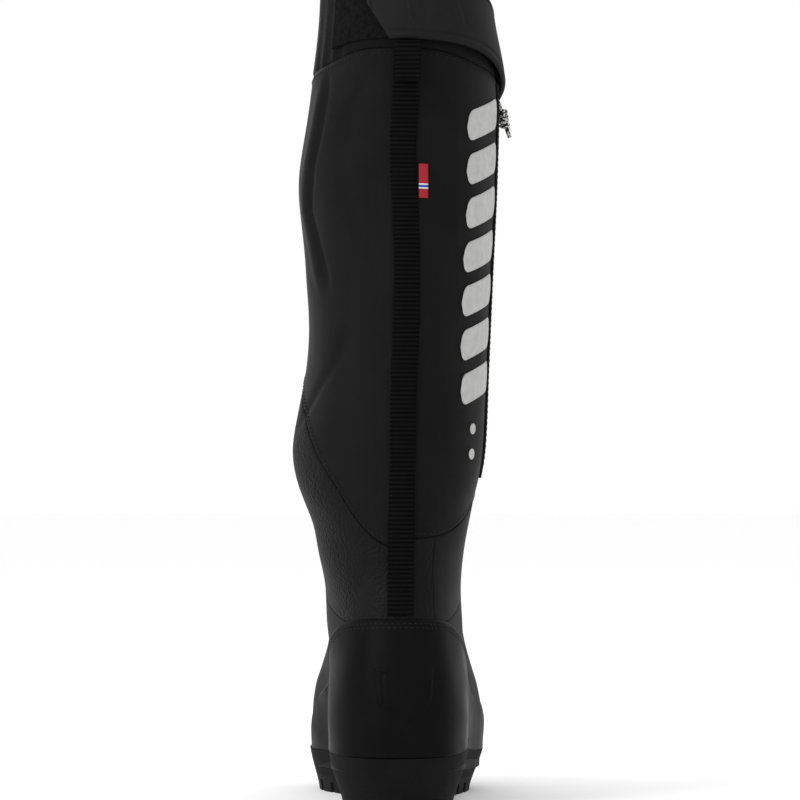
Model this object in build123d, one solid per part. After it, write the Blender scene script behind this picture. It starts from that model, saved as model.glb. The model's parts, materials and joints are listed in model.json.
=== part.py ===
"""A right mountaineering boot with a knee-high built-in gaiter, as separate sewn, moulded and metal pieces.

Frame: millimetres, +Z up, +Y towards the toe, +X towards the outer side of the foot.
The origin is on the floor, in the middle of the boot's length and width.
"""

from functools import cache
from math import atan2, cos, degrees, hypot, pi, sin, sqrt
import os

from build123d import *

# ---- overall sizes -------------------------------------------------------------------------------
SOLE_LENGTH = 304.0  # heel to toe
BALL_HALF_WIDTH = 52.5  # upper at the ball of the foot
HEEL_HALF_WIDTH = 37.0  # upper at the heel seat
ANKLE_HALF_WIDTH = 41.0
CALF_HALF_WIDTH = 57.0  # gaiter at the calf
SHAFT_HEIGHT = 497.0  # floor to the top of the cuff, at the back
ANKLE_HEIGHT = 128.0  # floor to the ankle's flex axis

# ---- walls and clearances ------------------------------------------------------------------------
SKIN = 1.8  # coated leather and fabric of the upper and the gaiter
GAP = 0.3  # between pieces that lie on each other
STIFFENER = 1.5
LINER = 3.5  # foam bootie
FLEECE = 2.5  # lining of the gaiter
OVERLAY = 1.6  # heel cup and toe cap, outside the upper
WEBBING = 1.4
PATCH = 1.2  # each half of the hook and loop closure

# ---- sole ----------------------------------------------------------------------------------------
LUG_DEPTH = 7.0
TREAD_BASE = 3.5  # rubber between the lugs and the midsole
GROOVE = 5.5  # between lugs
LUG_PITCH = 19.0
BOARD = 2.2
FOOTBED = 4.0
SHANK_WIDTH = 26.0
SHANK_THICKNESS = 1.6
SHANK_LENGTH = 130.0

# ---- closures ------------------------------------------------------------------------------------
CUFF_HEIGHT = 52.0
ZIP_BOTTOM = ANKLE_HEIGHT + 77.0
ZIP_TOP = SHAFT_HEIGHT - CUFF_HEIGHT - 21.0  # the slider's stop, clear of the cuff strap
ZIP_TAPE_WIDTH = 15.0  # each side
ZIP_TAPE = 0.8
TOOTH_LENGTH = 4.4  # across the closed teeth
TOOTH_THICKNESS = 2.2
TOOTH_PITCH = 3.0
SLIDER_LENGTH = 11.0
SLIDER_WIDTH = 9.0
SLIDER_PLATE = 1.1
STRAP_WIDTH = 42.0
STRAP_THICKNESS = 2.6
WEBBING_WIDTH = 15.0
PULL_CORD = 2.5
PULL_DROP = 13.0  # from the slider's eye to the middle of the knot
LACE = 1.8
LOOP_TAB = 6.0
LACE_ROWS = 5
MARKS = 7  # slanted reflective bars up the outer side

HEEL_Y = -SOLE_LENGTH / 2
TOE_Y = SOLE_LENGTH / 2
AROUND = 24  # points round each section
REACH = 200.0  # half width of a cutting prism, wider than the boot


def smooth(knots, at):
    """A value on a smooth curve through (position, value) knots: cubic pieces that share their slopes."""
    xs = [k[0] for k in knots]
    ys = [k[1] for k in knots]
    steps = [(ys[i + 1] - ys[i]) / (xs[i + 1] - xs[i]) for i in range(len(xs) - 1)]
    slopes = [steps[0]] + [(a + b) / 2 for a, b in zip(steps, steps[1:])] + [steps[-1]]
    at = min(max(at, xs[0]), xs[-1])
    i = max(j for j in range(len(steps)) if xs[j] <= at)
    h = xs[i + 1] - xs[i]
    t = (at - xs[i]) / h
    rise = ys[i + 1] - ys[i]
    start, end = slopes[i] * h, slopes[i + 1] * h
    return ys[i] + t * start + t * t * (3 * rise - 2 * start - end) + t**3 * (start + end - 2 * rise)


# ---- the boot's form: sections from the sole to the cuff ----------------------------------------------
# Each section is a tilted plane through a back point and a front point, with half widths of the inner and
# the outer side. A half width is given at five shares of the section's length, as the value that
# multiplies the sine of the angle round it.
PLACES = (0.0, 0.13, 0.45, 0.70, 1.0)
B, H, A, C = BALL_HALF_WIDTH, HEEL_HALF_WIDTH, ANKLE_HALF_WIDTH, CALF_HALF_WIDTH
LEG = SHAFT_HEIGHT - ANKLE_HEIGHT
FOOT_SECTIONS = [
    # back y, back z, front y, front z, inner side widths, outer side widths
    (HEEL_Y + 8, 4, TOE_Y - 7, 12, (66, H + 17, H - 5, B + 2, 70), (66, H + 17, H + 2, B + 2, 64)),
    (HEEL_Y + 6, 19, TOE_Y - 5, 31, (68, H + 18, H - 4, B + 3, 72), (68, H + 18, H + 3, B + 3, 65)),
    (HEEL_Y + 4, 35, TOE_Y - 5, 51, (70, H + 18, H - 3, B + 4, 73), (70, H + 18, H + 4, B + 4, 66)),
    (HEEL_Y + 3, 50, TOE_Y - 13, 70, (69, H + 18, H - 1, B + 2, 68), (69, H + 18, H + 4, B + 1, 62)),
    (HEEL_Y + 4, 65, TOE_Y - 36, 85, (66, H + 16, H + 1, B - 3, 58), (66, H + 16, H + 4, B - 4, 54)),
    (HEEL_Y + 6, 80, TOE_Y - 68, 101, (62, H + 12, H + 3, B - 8, 49), (62, H + 12, H + 3, B - 9, 47)),
    (HEEL_Y + 9, 96, TOE_Y - 98, 121, (54, H + 8, A + 1, A, 43), (54, H + 7, A - 2, A - 2, 42)),
    (HEEL_Y + 13, ANKLE_HEIGHT - 14, TOE_Y - 124, 146, (46, A + 2, A + 2, A, 42), (46, A, A - 3, A - 2, 41)),
    (HEEL_Y + 15, ANKLE_HEIGHT + 6, TOE_Y - 142, 172, (44, A + 5, A + 6, A + 3, 43), (42, A, A - 1, A, 42)),
]
LEG_SECTIONS = [
    # back y, share of the leg's height at the back, front y, the same at the front, inner and outer half width
    (HEEL_Y + 14, 0.09, TOE_Y - 152.5, 0.19, C - 2, C - 12),
    (HEEL_Y + 13, 0.19, TOE_Y - 151, 0.25, C + 4.5, C - 6),
    (HEEL_Y + 15, 0.35, TOE_Y - 150, 0.37, C - 4, C - 3.5),
    (HEEL_Y + 17, 0.52, TOE_Y - 148.5, 0.50, C - 3, C - 1),
    (HEEL_Y + 18, 0.68, TOE_Y - 146, 0.63, C + 0.5, C + 1.5),
    (HEEL_Y + 21, 0.83, TOE_Y - 146, 0.77, C - 6, C + 2),
    (HEEL_Y + 26, 0.94, TOE_Y - 150, 0.89, C - 11, C - 5),
    (HEEL_Y + 29, 1.00, TOE_Y - 153, 0.955, C - 12, C - 7),
]
SECTIONS = FOOT_SECTIONS + [
    (back, ANKLE_HEIGHT + low * LEG, front, ANKLE_HEIGHT + high * LEG, (inner,) * 5, (outer,) * 5)
    for back, low, front, high, inner, outer in LEG_SECTIONS
]


def stepped_out(line, distance, side):
    """A side-view line of (y, z) points moved along its normals. side is -1 at the back, 1 at the front."""
    moved = []
    for i, (y, z) in enumerate(line):
        before, after = line[max(i - 1, 0)], line[min(i + 1, len(line) - 1)]
        dy, dz = after[0] - before[0], after[1] - before[1]
        size = hypot(dy, dz)
        moved.append([y + side * distance * dz / size, z - side * distance * dy / size])
    # The ends reach past the sections, further the smaller the form, so that no two forms share an end.
    moved[0] = [line[0][0] + side * distance, line[0][1] - 8 + distance]
    moved[-1] = [line[-1][0] + side * distance, line[-1][1] + 14 - distance]
    return moved


def sections(distance):
    """Every section of the form, as (back, front, inner widths, outer widths), moved out by a distance."""
    backs = stepped_out([(s[0], s[1]) for s in SECTIONS], distance, -1)
    fronts = stepped_out([(s[2], s[3]) for s in SECTIONS], distance, 1)
    return [
        (back, front, [w + distance for w in s[4]], [w + distance for w in s[5]])
        for back, front, s in zip(backs, fronts, SECTIONS)
    ]


def section_point(section, angle):
    """A point of a section. Angle 0 is the middle of the back, and the outer side comes first."""
    back, front, inner, outer = section
    share = (1 - cos(angle)) / 2
    widths = outer if sin(angle) >= 0 else inner
    x = sin(angle) * smooth(list(zip(PLACES, widths)), share)
    return (x, back[0] + share * (front[0] - back[0]), back[1] + share * (front[1] - back[1]))


def loft_of(rings):
    """A solid through closed sections. All sections share their parameters, which keeps the surface light."""
    angles = [2 * pi * i / AROUND for i in range(AROUND + 1)]
    wires = []
    for ring in rings:
        points = [Vector(*section_point(ring, a)) for a in angles[:-1]]
        wires.append(Wire([Edge.make_spline(points, periodic=True, parameters=angles)]))
    return Solid.make_loft(wires)


@cache
def form(distance):
    """The boot's form as a solid, moved out by a distance. It runs past the sole and the cuff."""
    return loft_of(sections(distance))


# ---- lines of the side view, as (y, z) knots from heel to toe -----------------------------------------
BALL_Y = HEEL_Y + 0.68 * SOLE_LENGTH
WAIST_Y = HEEL_Y + 0.30 * SOLE_LENGTH
HEEL_BREAST_Y = HEEL_Y + 0.27 * SOLE_LENGTH
TREAD_START_Y = HEEL_Y + 0.45 * SOLE_LENGTH
LIFT = LUG_DEPTH
SEAT = LUG_DEPTH + TREAD_BASE  # top of the outsole
TREAD_LINE = [(HEEL_Y - 20, LIFT), (HEEL_BREAST_Y, LIFT), (WAIST_Y + 24, LIFT + 4), (TREAD_START_Y + 12, LIFT)]
TREAD_LINE += [(BALL_Y, LIFT + 0.5), (TOE_Y - 40, LIFT + 4), (TOE_Y + 20, LIFT + 18)]
FOOT_LINE = [(HEEL_Y - 20, SEAT + 11.5), (WAIST_Y, SEAT + 10), (TREAD_START_Y + 12, SEAT + 5)]
FOOT_LINE += [(BALL_Y, SEAT + 4.5), (TOE_Y - 45, SEAT + 8), (TOE_Y + 20, SEAT + 20)]
LIP_BACK = [(HEEL_Y - 20, 30.5), (HEEL_Y + 20, 31), (HEEL_Y + 60, 33.5), (WAIST_Y, 38)]
LIP_FRONT = [(WAIST_Y, 38), (WAIST_Y + 30, 32), (WAIST_Y + 70, 27), (BALL_Y, 25.5), (TOE_Y - 40, 28)]
LIP_FRONT += [(TOE_Y + 20, 38)]
QUARTER_LINE = [(HEEL_Y - 20, 112), (HEEL_Y + 28, 110), (HEEL_Y + 90, 92), (0, 70), (45, 50), (80, 12)]
CUFF_SLOPE = -0.13
CUFF_SEAM = SHAFT_HEIGHT - CUFF_HEIGHT
HINGE_Y = HEEL_Y + 91.0
VAMP_LINE = [(HEEL_Y + 52, 106), (TOE_Y - 92, ANKLE_HEIGHT + 60)]
ANKLE_LINE = [(HEEL_Y - 20, ANKLE_HEIGHT + 30), (HEEL_Y + 40, ANKLE_HEIGHT + 46), (TOE_Y - 92, ANKLE_HEIGHT + 130)]


def raised(line, height):
    return [(y, z + height) for y, z in line]


def curve(line):
    if len(line) == 2:
        return Line(*line)
    return Spline(*line)


def side_prism(*lines):
    """A prism across the boot. Its side view is closed by these lines in order, joined by straight edges."""
    edges = []
    for i, line in enumerate(lines):
        following = lines[(i + 1) % len(lines)]
        if len(line) > 1:
            edges.append(curve(line))
        edges.append(Line(line[-1], following[0]))
    return extrude(Plane.YZ * make_face(Curve() + edges), amount=REACH, both=True)


def under(line, floor=-60.0):
    """The space below a side-view line."""
    return side_prism(line, [(line[-1][0], floor)], [(line[0][0], floor)])


def over(line, ceiling=SHAFT_HEIGHT + 60):
    """The space above a side-view line."""
    return side_prism(line, [(line[-1][0], ceiling)], [(line[0][0], ceiling)])


def box(x0, x1, y0, y1, z0, z1):
    return Pos((x0 + x1) / 2, (y0 + y1) / 2, (z0 + z1) / 2) * Box(x1 - x0, y1 - y0, z1 - z0)


def layer(outer, inner, *spaces):
    """The part of a wall between two moved forms that lies in every space given."""
    wall = form(outer)
    for space in spaces:
        wall = wall & space
    return wall - form(inner)


def write(name, shape):
    export_step(Compound(children=list(shape.solids())), f"parts/{name}.step")


# ---- sole ----------------------------------------------------------------------------------------
SOLE_SECTIONS = [
    # height, in from the heel end, in from the toe end, inner side widths, outer side widths
    (-6, 9, 9, (58, H + 9, H - 10, B - 1, 64), (58, H + 9, H - 3, B - 4, 56)),
    (8, 7.5, 6, (61, H + 11, H - 9, B + 1, 68), (61, H + 11, H - 2, B - 2, 60)),
    (22, 4, 2, (66, H + 17, H - 4, B + 5, 74), (66, H + 17, H + 3, B + 4, 67)),
    (36, 0.5, 0, (72, H + 20, H - 0.5, B + 7, 77), (72, H + 20, H + 6.5, B + 7, 70)),
    (50, -3, -1, (74, H + 22, H, B + 8, 78), (74, H + 22, H + 7, B + 8, 71)),
]


def sole_block():
    """The sole's outside, taller than the sole, with walls that lean out."""
    rings = [((HEEL_Y + heel, z), (TOE_Y - toe, z), inner, outer) for z, heel, toe, inner, outer in SOLE_SECTIONS]
    return loft_of(rings)


def chevron(y, point, width):
    """A V-shaped groove across the tread, which points forwards or backwards by an amount."""
    reach = 90.0
    half = width / 2
    rear = [(-reach, y - half - point), (0, y - half), (reach, y - half - point)]
    front = [(reach, y + half - point), (0, y + half), (-reach, y + half - point)]
    return extrude(Pos(0, 0, -20) * make_face(Polyline(*rear, *front, close=True)), amount=60)


def floor_space():
    """Everything above the ground line, which is flat to the ball and then curves up to the toe."""
    flat = Line((HEEL_Y - 30, 0), (BALL_Y, 0))
    rise = TangentArc((BALL_Y, 0), (TOE_Y + 20, 17), tangent=(1, 0))
    sides = Polyline((TOE_Y + 20, 17), (TOE_Y + 20, 90), (HEEL_Y - 30, 90), (HEEL_Y - 30, 0))
    return extrude(Plane.YZ * make_face(flat + rise + sides), amount=REACH, both=True)


def outsole():
    """Rubber sheet with lugs under the heel and under the forefoot, and none under the arch."""
    block = sole_block() & floor_space()
    sheet = block & side_prism(TREAD_LINE, raised(TREAD_LINE, TREAD_BASE)[::-1])
    lugs = block & under(raised(TREAD_LINE, 0.5))
    lugs -= box(-REACH, REACH, HEEL_BREAST_Y, TREAD_START_Y, -30, 60)
    rows = int((TOE_Y - TREAD_START_Y) / LUG_PITCH)
    cuts = [chevron(TREAD_START_Y + LUG_PITCH * (i + 1), -9, GROOVE) for i in range(rows)]
    heel_rows = int((HEEL_BREAST_Y - HEEL_Y) / LUG_PITCH)
    cuts += [chevron(HEEL_BREAST_Y - LUG_PITCH * (i + 1) + 3, 7, GROOVE) for i in range(heel_rows)]
    for side in (-1, 1):
        x = side * (B - 16 - GROOVE) / 2
        cuts.append(box(x - GROOVE / 2, x + GROOVE / 2, HEEL_Y + 17, HEEL_BREAST_Y + 1, -30, LUG_DEPTH + 0.2))
        cuts.append(box(x - GROOVE / 2, x + GROOVE / 2, TREAD_START_Y - 1, TOE_Y - 24, -30, TOE_Y))
    for cut in cuts:
        lugs -= cut
    return sheet + lugs


def midsole():
    """Moulded cup that holds the upper's lower edge, with a recess for the shank."""
    cup = sole_block() & over(raised(TREAD_LINE, TREAD_BASE)) & (under(LIP_BACK) + under(LIP_FRONT))
    cup -= form(GAP) & over(FOOT_LINE)
    recess = shank_prism(GAP)
    return cup - recess


def shank_prism(room=0.0):
    """The shank's strip under the board, with room all round for its recess."""
    strip = side_prism(raised(FOOT_LINE, -GAP - SHANK_THICKNESS - room), raised(FOOT_LINE, -GAP + room)[::-1])
    middle = WAIST_Y + 12
    half = SHANK_LENGTH / 2 + room
    return strip & box(-SHANK_WIDTH / 2 - room, SHANK_WIDTH / 2 + room, middle - half, middle + half, -30, 90)


# ---- inside the foot -------------------------------------------------------------------------------
INSIDE_SKIN = -SKIN - GAP
LINER_OUT = INSIDE_SKIN - max(FLEECE, STIFFENER) - GAP
LINER_IN = LINER_OUT - LINER
BOARD_TOP = raised(FOOT_LINE, BOARD)
LINER_FLOOR = raised(BOARD_TOP, GAP + LINER)
LINER_TOP = [(HEEL_Y - 20, ANKLE_HEIGHT + 48), (TOE_Y, ANKLE_HEIGHT + 96)]


def insole_board():
    return form(INSIDE_SKIN) & side_prism(FOOT_LINE, BOARD_TOP[::-1])


def footbed():
    bottom = raised(LINER_FLOOR, GAP)
    return form(LINER_IN - GAP) & side_prism(bottom, raised(bottom, FOOTBED)[::-1])


def heel_stiffener():
    space = over(raised(BOARD_TOP, GAP)) & box(-REACH, REACH, HEEL_Y - 20, HEEL_Y + 68, 0, ANKLE_HEIGHT - 34)
    return layer(INSIDE_SKIN, INSIDE_SKIN - STIFFENER, space)


def toe_stiffener():
    space = over(raised(BOARD_TOP, GAP)) & box(-REACH, REACH, TOE_Y - 58, TOE_Y + 20, 0, 120)
    return layer(INSIDE_SKIN, INSIDE_SKIN - STIFFENER, space)


TONGUE_WIDTH = 46.0
THROAT_BACK = [(BALL_Y - 28, 60), (BALL_Y - 28, 130), (HINGE_Y + 46, 260)]


def throat(margin):
    """The slot down the bootie's instep, which the tongue fills with a margin all round."""
    half = TONGUE_WIDTH / 2 + margin
    front_part = side_prism(
        [(BALL_Y - 18 + margin, 70)], [(BALL_Y - 18 + margin, 400)], [(HINGE_Y + 52 - margin, 400)],
        [(HINGE_Y + 52 - margin, 130)],
    )
    return front_part & box(-half, half, -REACH, REACH, 0, 400)


def liner():
    """Foam bootie with a closed bottom and a slot down the instep for its tongue."""
    sock = form(LINER_OUT) & over(raised(BOARD_TOP, GAP)) & under(LINER_TOP)
    sock -= form(LINER_IN) & over(LINER_FLOOR)
    return sock - throat(0)


def tongue():
    pad = layer(LINER_OUT, LINER_IN, over(LINER_FLOOR), under(raised(LINER_TOP, -6)), throat(-GAP))
    return pad


def on_form(section_list, share_up, angle):
    """A point of a moved form between its sections. share_up counts sections from the sole."""
    low = int(share_up)
    first = section_point(section_list[low], angle)
    second = section_point(section_list[min(low + 1, len(section_list) - 1)], angle)
    t = share_up - low
    return tuple(a + t * (b - a) for a, b in zip(first, second))


def point_at(distance, angle, height):
    """The point of a moved form at an angle round it and a height over the floor."""
    ring_points = [section_point(ring, angle) for ring in sections(distance)]
    xs, ys, zs = [list(enumerate(values)) for values in zip(*ring_points)]
    low, high = 0.0, len(ring_points) - 1.001
    for _ in range(40):
        middle = (low + high) / 2
        low, high = (middle, high) if smooth(zs, middle) < height else (low, middle)
    return Vector(smooth(xs, low), smooth(ys, low), smooth(zs, low))


# ---- seams of the upper and the gaiter, in side view --------------------------------------------------
LOWER_TOP = [(HEEL_Y - 20, ANKLE_HEIGHT - 21), (HEEL_Y + 27, ANKLE_HEIGHT - 20), (HINGE_Y, ANKLE_HEIGHT - 3)]
LOWER_TOP += [(HINGE_Y + 61, ANKLE_HEIGHT + 27), (HINGE_Y + 91, ANKLE_HEIGHT + 47), (TOE_Y, ANKLE_HEIGHT + 70)]
INNER_SEAM = [(HEEL_Y - 20, ANKLE_HEIGHT + 18), (HEEL_Y + 13, ANKLE_HEIGHT + 23), (HEEL_Y + 26, ANKLE_HEIGHT + 59)]
INNER_SEAM += [(HINGE_Y - 17, ANKLE_HEIGHT + 111), (HINGE_Y + 41, ANKLE_HEIGHT + 134), (TOE_Y, ANKLE_HEIGHT + 150)]
OUTER_SEAM = [(HEEL_Y - 20, ANKLE_HEIGHT + 30), (HEEL_Y + 26, ANKLE_HEIGHT + 32), (HINGE_Y - 39, ANKLE_HEIGHT + 42)]
OUTER_SEAM += [(HINGE_Y + 3, ANKLE_HEIGHT + 58), (HINGE_Y + 66, ANKLE_HEIGHT + 78), (TOE_Y, ANKLE_HEIGHT + 100)]
CUFF_LINE = [(HEEL_Y - 20, CUFF_SEAM + 2), (HEEL_Y + 25, CUFF_SEAM - 0.5), (HEEL_Y + 48, CUFF_SEAM - 8)]
CUFF_LINE += [(HEEL_Y + 82, CUFF_SEAM - 14), (TOE_Y, CUFF_SEAM - 28)]
TOP_LINE = [(HEEL_Y - 20, SHAFT_HEIGHT + 6.6), (TOE_Y, SHAFT_HEIGHT - 37.4)]
BINDING = 5.0  # height of the cuff's bound edge
CENTRE_SEAM_X = 3.0  # the back seam, under the webbing
PATCH_EDGE_X = 28.0  # the pebbled ankle fabric's edge on the outer side


def above_lip():
    return over(raised(LIP_BACK, GAP)) + over(raised(LIP_FRONT, GAP))


def halves(seam_x, gap=GAP):
    """The spaces inside and outside of a seam that runs straight up the back, and up the middle in front."""
    half = gap / 2
    inner = box(-REACH, seam_x - half, -REACH, HINGE_Y, -60, 600) + box(-REACH, -half, HINGE_Y, REACH, -60, 600)
    outer = box(seam_x + half, REACH, -REACH, HINGE_Y, -60, 600) + box(half, REACH, HINGE_Y, REACH, -60, 600)
    return inner, outer


def rear_of(line, gap):
    """The space behind a side-view line that runs from the sole up to the instep."""
    back = [(y - gap, z) for y, z in line]
    return side_prism(back, [(HEEL_Y - 60, back[-1][1])], [(HEEL_Y - 60, back[0][1])])


VAMP_SEAM = [(HINGE_Y + 51, -30), (HINGE_Y + 55, 60), (HINGE_Y + 70, 110), (HINGE_Y + 88, 300)]


def lower_skin():
    """The upper of the foot, from the sole to the lower edge of the ankle's flexible panels."""
    return layer(0, -SKIN, over(raised(FOOT_LINE, GAP)), under(LOWER_TOP))


def vamp(skin):
    return skin - rear_of(VAMP_SEAM, 0)


def quarters(skin):
    rear = skin & rear_of(VAMP_SEAM, GAP)
    return [rear & space for space in halves(CENTRE_SEAM_X)]


def emblem():
    """A plain raised shield in place of any mark on the heel."""
    top, low, half = 84.0, 50.0, 17.0
    outline = Polyline((-half, top), (half, top), (half - 2, low + 13), (0, low), (-half + 2, low + 13), close=True)
    plate = extrude(Plane.XZ * make_face(outline), amount=REACH)
    return layer(OVERLAY + 0.9, GAP + 0.4, Pos(4, HINGE_Y - 30, 0) * plate)


def heel_cup():
    """Coated cup round the heel. Its upper edge falls along both sides to the midsole's lip."""
    cup = layer(OVERLAY, GAP, above_lip(), under(QUARTER_LINE))
    return cup + emblem()


def toe_cap():
    line = [(TOE_Y - 76, 10), (TOE_Y - 62, 52), (TOE_Y - 48, 110)]
    return layer(OVERLAY, GAP, above_lip(), box(-REACH, REACH, TOE_Y - 80, TOE_Y + 20, 10, 110)) - rear_of(line, 0)


# ---- ankle ---------------------------------------------------------------------------------------
def ankle_panel():
    """Pebbled fabric that bends at the ankle: the inner side, the back, and a strip of the outer side."""
    inner = under(raised(INNER_SEAM, -GAP)) & halves(CENTRE_SEAM_X, 0)[0]
    strip = under(raised(OUTER_SEAM, -GAP)) & box(CENTRE_SEAM_X, PATCH_EDGE_X, -REACH, HINGE_Y - 30, 0, 600)
    return layer(0, -SKIN, over(raised(LOWER_TOP, GAP)), inner + strip)


def ankle_side_panel():
    """Smooth fabric that bends at the ankle on the outer side."""
    zone = layer(0, -SKIN, over(raised(LOWER_TOP, GAP)), under(raised(OUTER_SEAM, -GAP)))
    zone &= halves(0)[1] & box(0, REACH, -REACH, REACH, 0, 600)
    return zone - box(-REACH, PATCH_EDGE_X + GAP, -REACH, HINGE_Y - 30, 0, 600)


# ---- zip -----------------------------------------------------------------------------------------
ZIP_ANGLE = pi * 92 / 180
ZIP_DEPTH = SKIN + 2.8  # from the fabric's outside to the middle of the teeth
ZIP_FOOT = point_at(-ZIP_DEPTH, ZIP_ANGLE, ZIP_BOTTOM)
ZIP_HEAD = point_at(-ZIP_DEPTH, ZIP_ANGLE, ZIP_TOP)
ZIP_UP = (ZIP_HEAD - ZIP_FOOT).normalized()
ZIP_LENGTH = (ZIP_HEAD - ZIP_FOOT).length
ZIP_ACROSS = point_at(-ZIP_DEPTH, ZIP_ANGLE + 0.2, 310) - point_at(-ZIP_DEPTH, ZIP_ANGLE - 0.2, 310)
ZIP_OUT = ZIP_ACROSS.cross(ZIP_UP).normalized()
# Local axes of the zip: x up along the teeth, y across them towards the heel, z out of the boot.
ZIP = Plane(origin=ZIP_FOOT, x_dir=ZIP_UP, z_dir=ZIP_OUT)
SLOT = 6.0  # half width of the opening in the fabric
ROW_GAP = 1.5  # between the two rows of teeth, where the slider's wedge runs
EYE_BACK = 4.0  # from the slider's upper end to the cord's eye
EYE_HEIGHT = TOOTH_THICKNESS / 2 + GAP + SLIDER_PLATE + 1.7


def zip_box(s0, s1, t0, t1, n0, n1):
    return ZIP * box(s0, s1, t0, t1, n0, n1)


def zip_sides(s0, s1, t0, t1, n0, n1):
    """The same box on both sides of the teeth."""
    return zip_box(s0, s1, t0, t1, n0, n1) + zip_box(s0, s1, -t1, -t0, n0, n1)


def zip_tapes():
    edge = TOOTH_LENGTH / 2 + 1.1
    return zip_sides(-4, ZIP_LENGTH + 3, edge, edge + ZIP_TAPE_WIDTH - 4, -ZIP_TAPE / 2, ZIP_TAPE / 2)


def zip_teeth():
    """Two rows of moulded teeth, each on its bead. They stop short of meshing, as the slider's wedge passes."""
    reach = TOOTH_LENGTH / 2
    half = TOOTH_THICKNESS / 2
    rows = []
    for side in (-1, 1):
        inner, outer = side * ROW_GAP / 2, side * (reach + 0.2)
        bead = box(0, ZIP_LENGTH, *sorted((side * (reach - 0.3), side * (reach + 0.8))), -0.8, 0.8)
        count = int((ZIP_LENGTH - 2) / TOOTH_PITCH)
        shift = 0.6 if side < 0 else 0.6 + TOOTH_PITCH / 2
        places = [shift + TOOTH_PITCH * i for i in range(count)]
        rows.append(bead + [box(s, s + TOOTH_PITCH / 2, *sorted((inner, outer)), -half, half) for s in places])
    return ZIP * Compound(children=[r for row in rows for r in row.solids()])


def zip_stops():
    foot = zip_box(-3, -GAP, -3, 3, -1.2, 1.2)
    return foot + zip_sides(ZIP_LENGTH + GAP, ZIP_LENGTH + 2.6, ROW_GAP / 2, 3, -1.2, 1.2)


def zip_slider():
    """Two plates joined by a thin wedge between the rows, with an eye on top for the cord."""
    half = TOOTH_THICKNESS / 2 + GAP
    top = ZIP_LENGTH
    plate = RectangleRounded(SLIDER_LENGTH, SLIDER_WIDTH, 2.5)
    plates = [
        Pos(top - SLIDER_LENGTH / 2, 0, n) * extrude(plate, amount=SLIDER_PLATE) for n in (half, -half - SLIDER_PLATE)
    ]
    wedge = box(top - SLIDER_LENGTH + 2, top - 2, -ROW_GAP / 2 + GAP, ROW_GAP / 2 - GAP, -half - 0.2, half + 0.2)
    base = half + SLIDER_PLATE
    eye = box(top - EYE_BACK - 2.8, top - EYE_BACK + 2.8, -1.1, 1.1, base - 0.2, EYE_HEIGHT + 2.6)
    hole = Pos(top - EYE_BACK, 0, EYE_HEIGHT) * Rot(90, 0, 0) * Cylinder(PULL_CORD / 2 + 0.3, 10)
    return ZIP * (plates[0] + plates[1] + wedge + (eye - hole))


def pull_point(down, across, lift):
    """A point of the cord, measured from the middle of the slider's eye."""
    return Vector(ZIP_LENGTH - EYE_BACK - down, across, EYE_HEIGHT + lift)


KNOT_LIFT = 5.4  # the knot hangs clear of the fabric


def zip_pull():
    """A doubled cord through the slider's eye, tied into a knot."""
    side = 1.1 + 0.4 + PULL_CORD / 2
    r = PULL_CORD / 2
    lift = KNOT_LIFT / PULL_DROP
    strands = [pull_point(PULL_DROP, -1.2, KNOT_LIFT), pull_point(4, -side, 4 * lift), pull_point(0, -side + 0.6, 0)]
    strands += [Vector(p.X, -p.Y, p.Z) for p in reversed(strands)]
    cord = Part()
    for start, end in zip(strands, strands[1:]):
        along = end - start
        cord += Plane(origin=start, z_dir=along) * extrude(Circle(r), amount=along.length)
        cord += Pos(*end) * Sphere(r)
    centre = (strands[0] + strands[-1]) * 0.5
    frame = Plane(origin=centre, z_dir=pull_point(0, 0, 0) - centre)
    body = frame * Pos(0, 0, -1) * fillet(Box(7.4, 6.4, 11).edges(), 2.6)
    tails = frame * Pos(0, 0, -9) * Cylinder(1.9, 7)
    return ZIP * (cord + body + tails)


def zip_welts():
    """Flat edging on the fabric round the zip's opening."""
    outer = zip_box(-12, ZIP_LENGTH + 2, -SLOT - 5, SLOT + 5, -20, 40)
    return layer(OVERLAY - 0.3, GAP, outer - zip_box(-6.5, ZIP_LENGTH + 30, -SLOT - GAP, SLOT + GAP, -20, 40))


# ---- gaiter ----------------------------------------------------------------------------------------
def gaiter_skin():
    return layer(0, -SKIN, over(raised(OUTER_SEAM, -8)), under(raised(CUFF_LINE, -GAP)))


def gaiter_medial(skin):
    return skin & over(INNER_SEAM) & halves(CENTRE_SEAM_X)[0]


def gaiter_lateral(skin):
    side = skin & over(OUTER_SEAM) & halves(CENTRE_SEAM_X)[1]
    return side - zip_box(-6, ZIP_LENGTH + 3, -SLOT, SLOT, -20, 40)


def cuff_band():
    return layer(0, -SKIN, over(CUFF_LINE), under(raised(TOP_LINE, -BINDING - GAP)))


def cuff_binding():
    """Tape folded over the top edge of the cuff and its lining."""
    return layer(1.4, -SKIN - GAP - FLEECE - 1.2, over(raised(TOP_LINE, -BINDING)), under(TOP_LINE))


def shaft_lining():
    """Fleece inside the gaiter and the cuff, open behind the zip."""
    spaces = over(raised(OUTER_SEAM, 4)), under(raised(TOP_LINE, -BINDING - GAP))
    lining = layer(-SKIN - GAP, -SKIN - GAP - FLEECE, *spaces)
    return lining - zip_box(-9, ZIP_LENGTH + 6, -16.5, 16.5, -40, 40)


WEBBING_MIDDLE = [(2.0, 90), (2.2, 150), (3.2, 198), (3.8, 245), (5.8, 314), (4.4, 355), (3.4, 385), (5, 420), (6.5, 470)]


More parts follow.
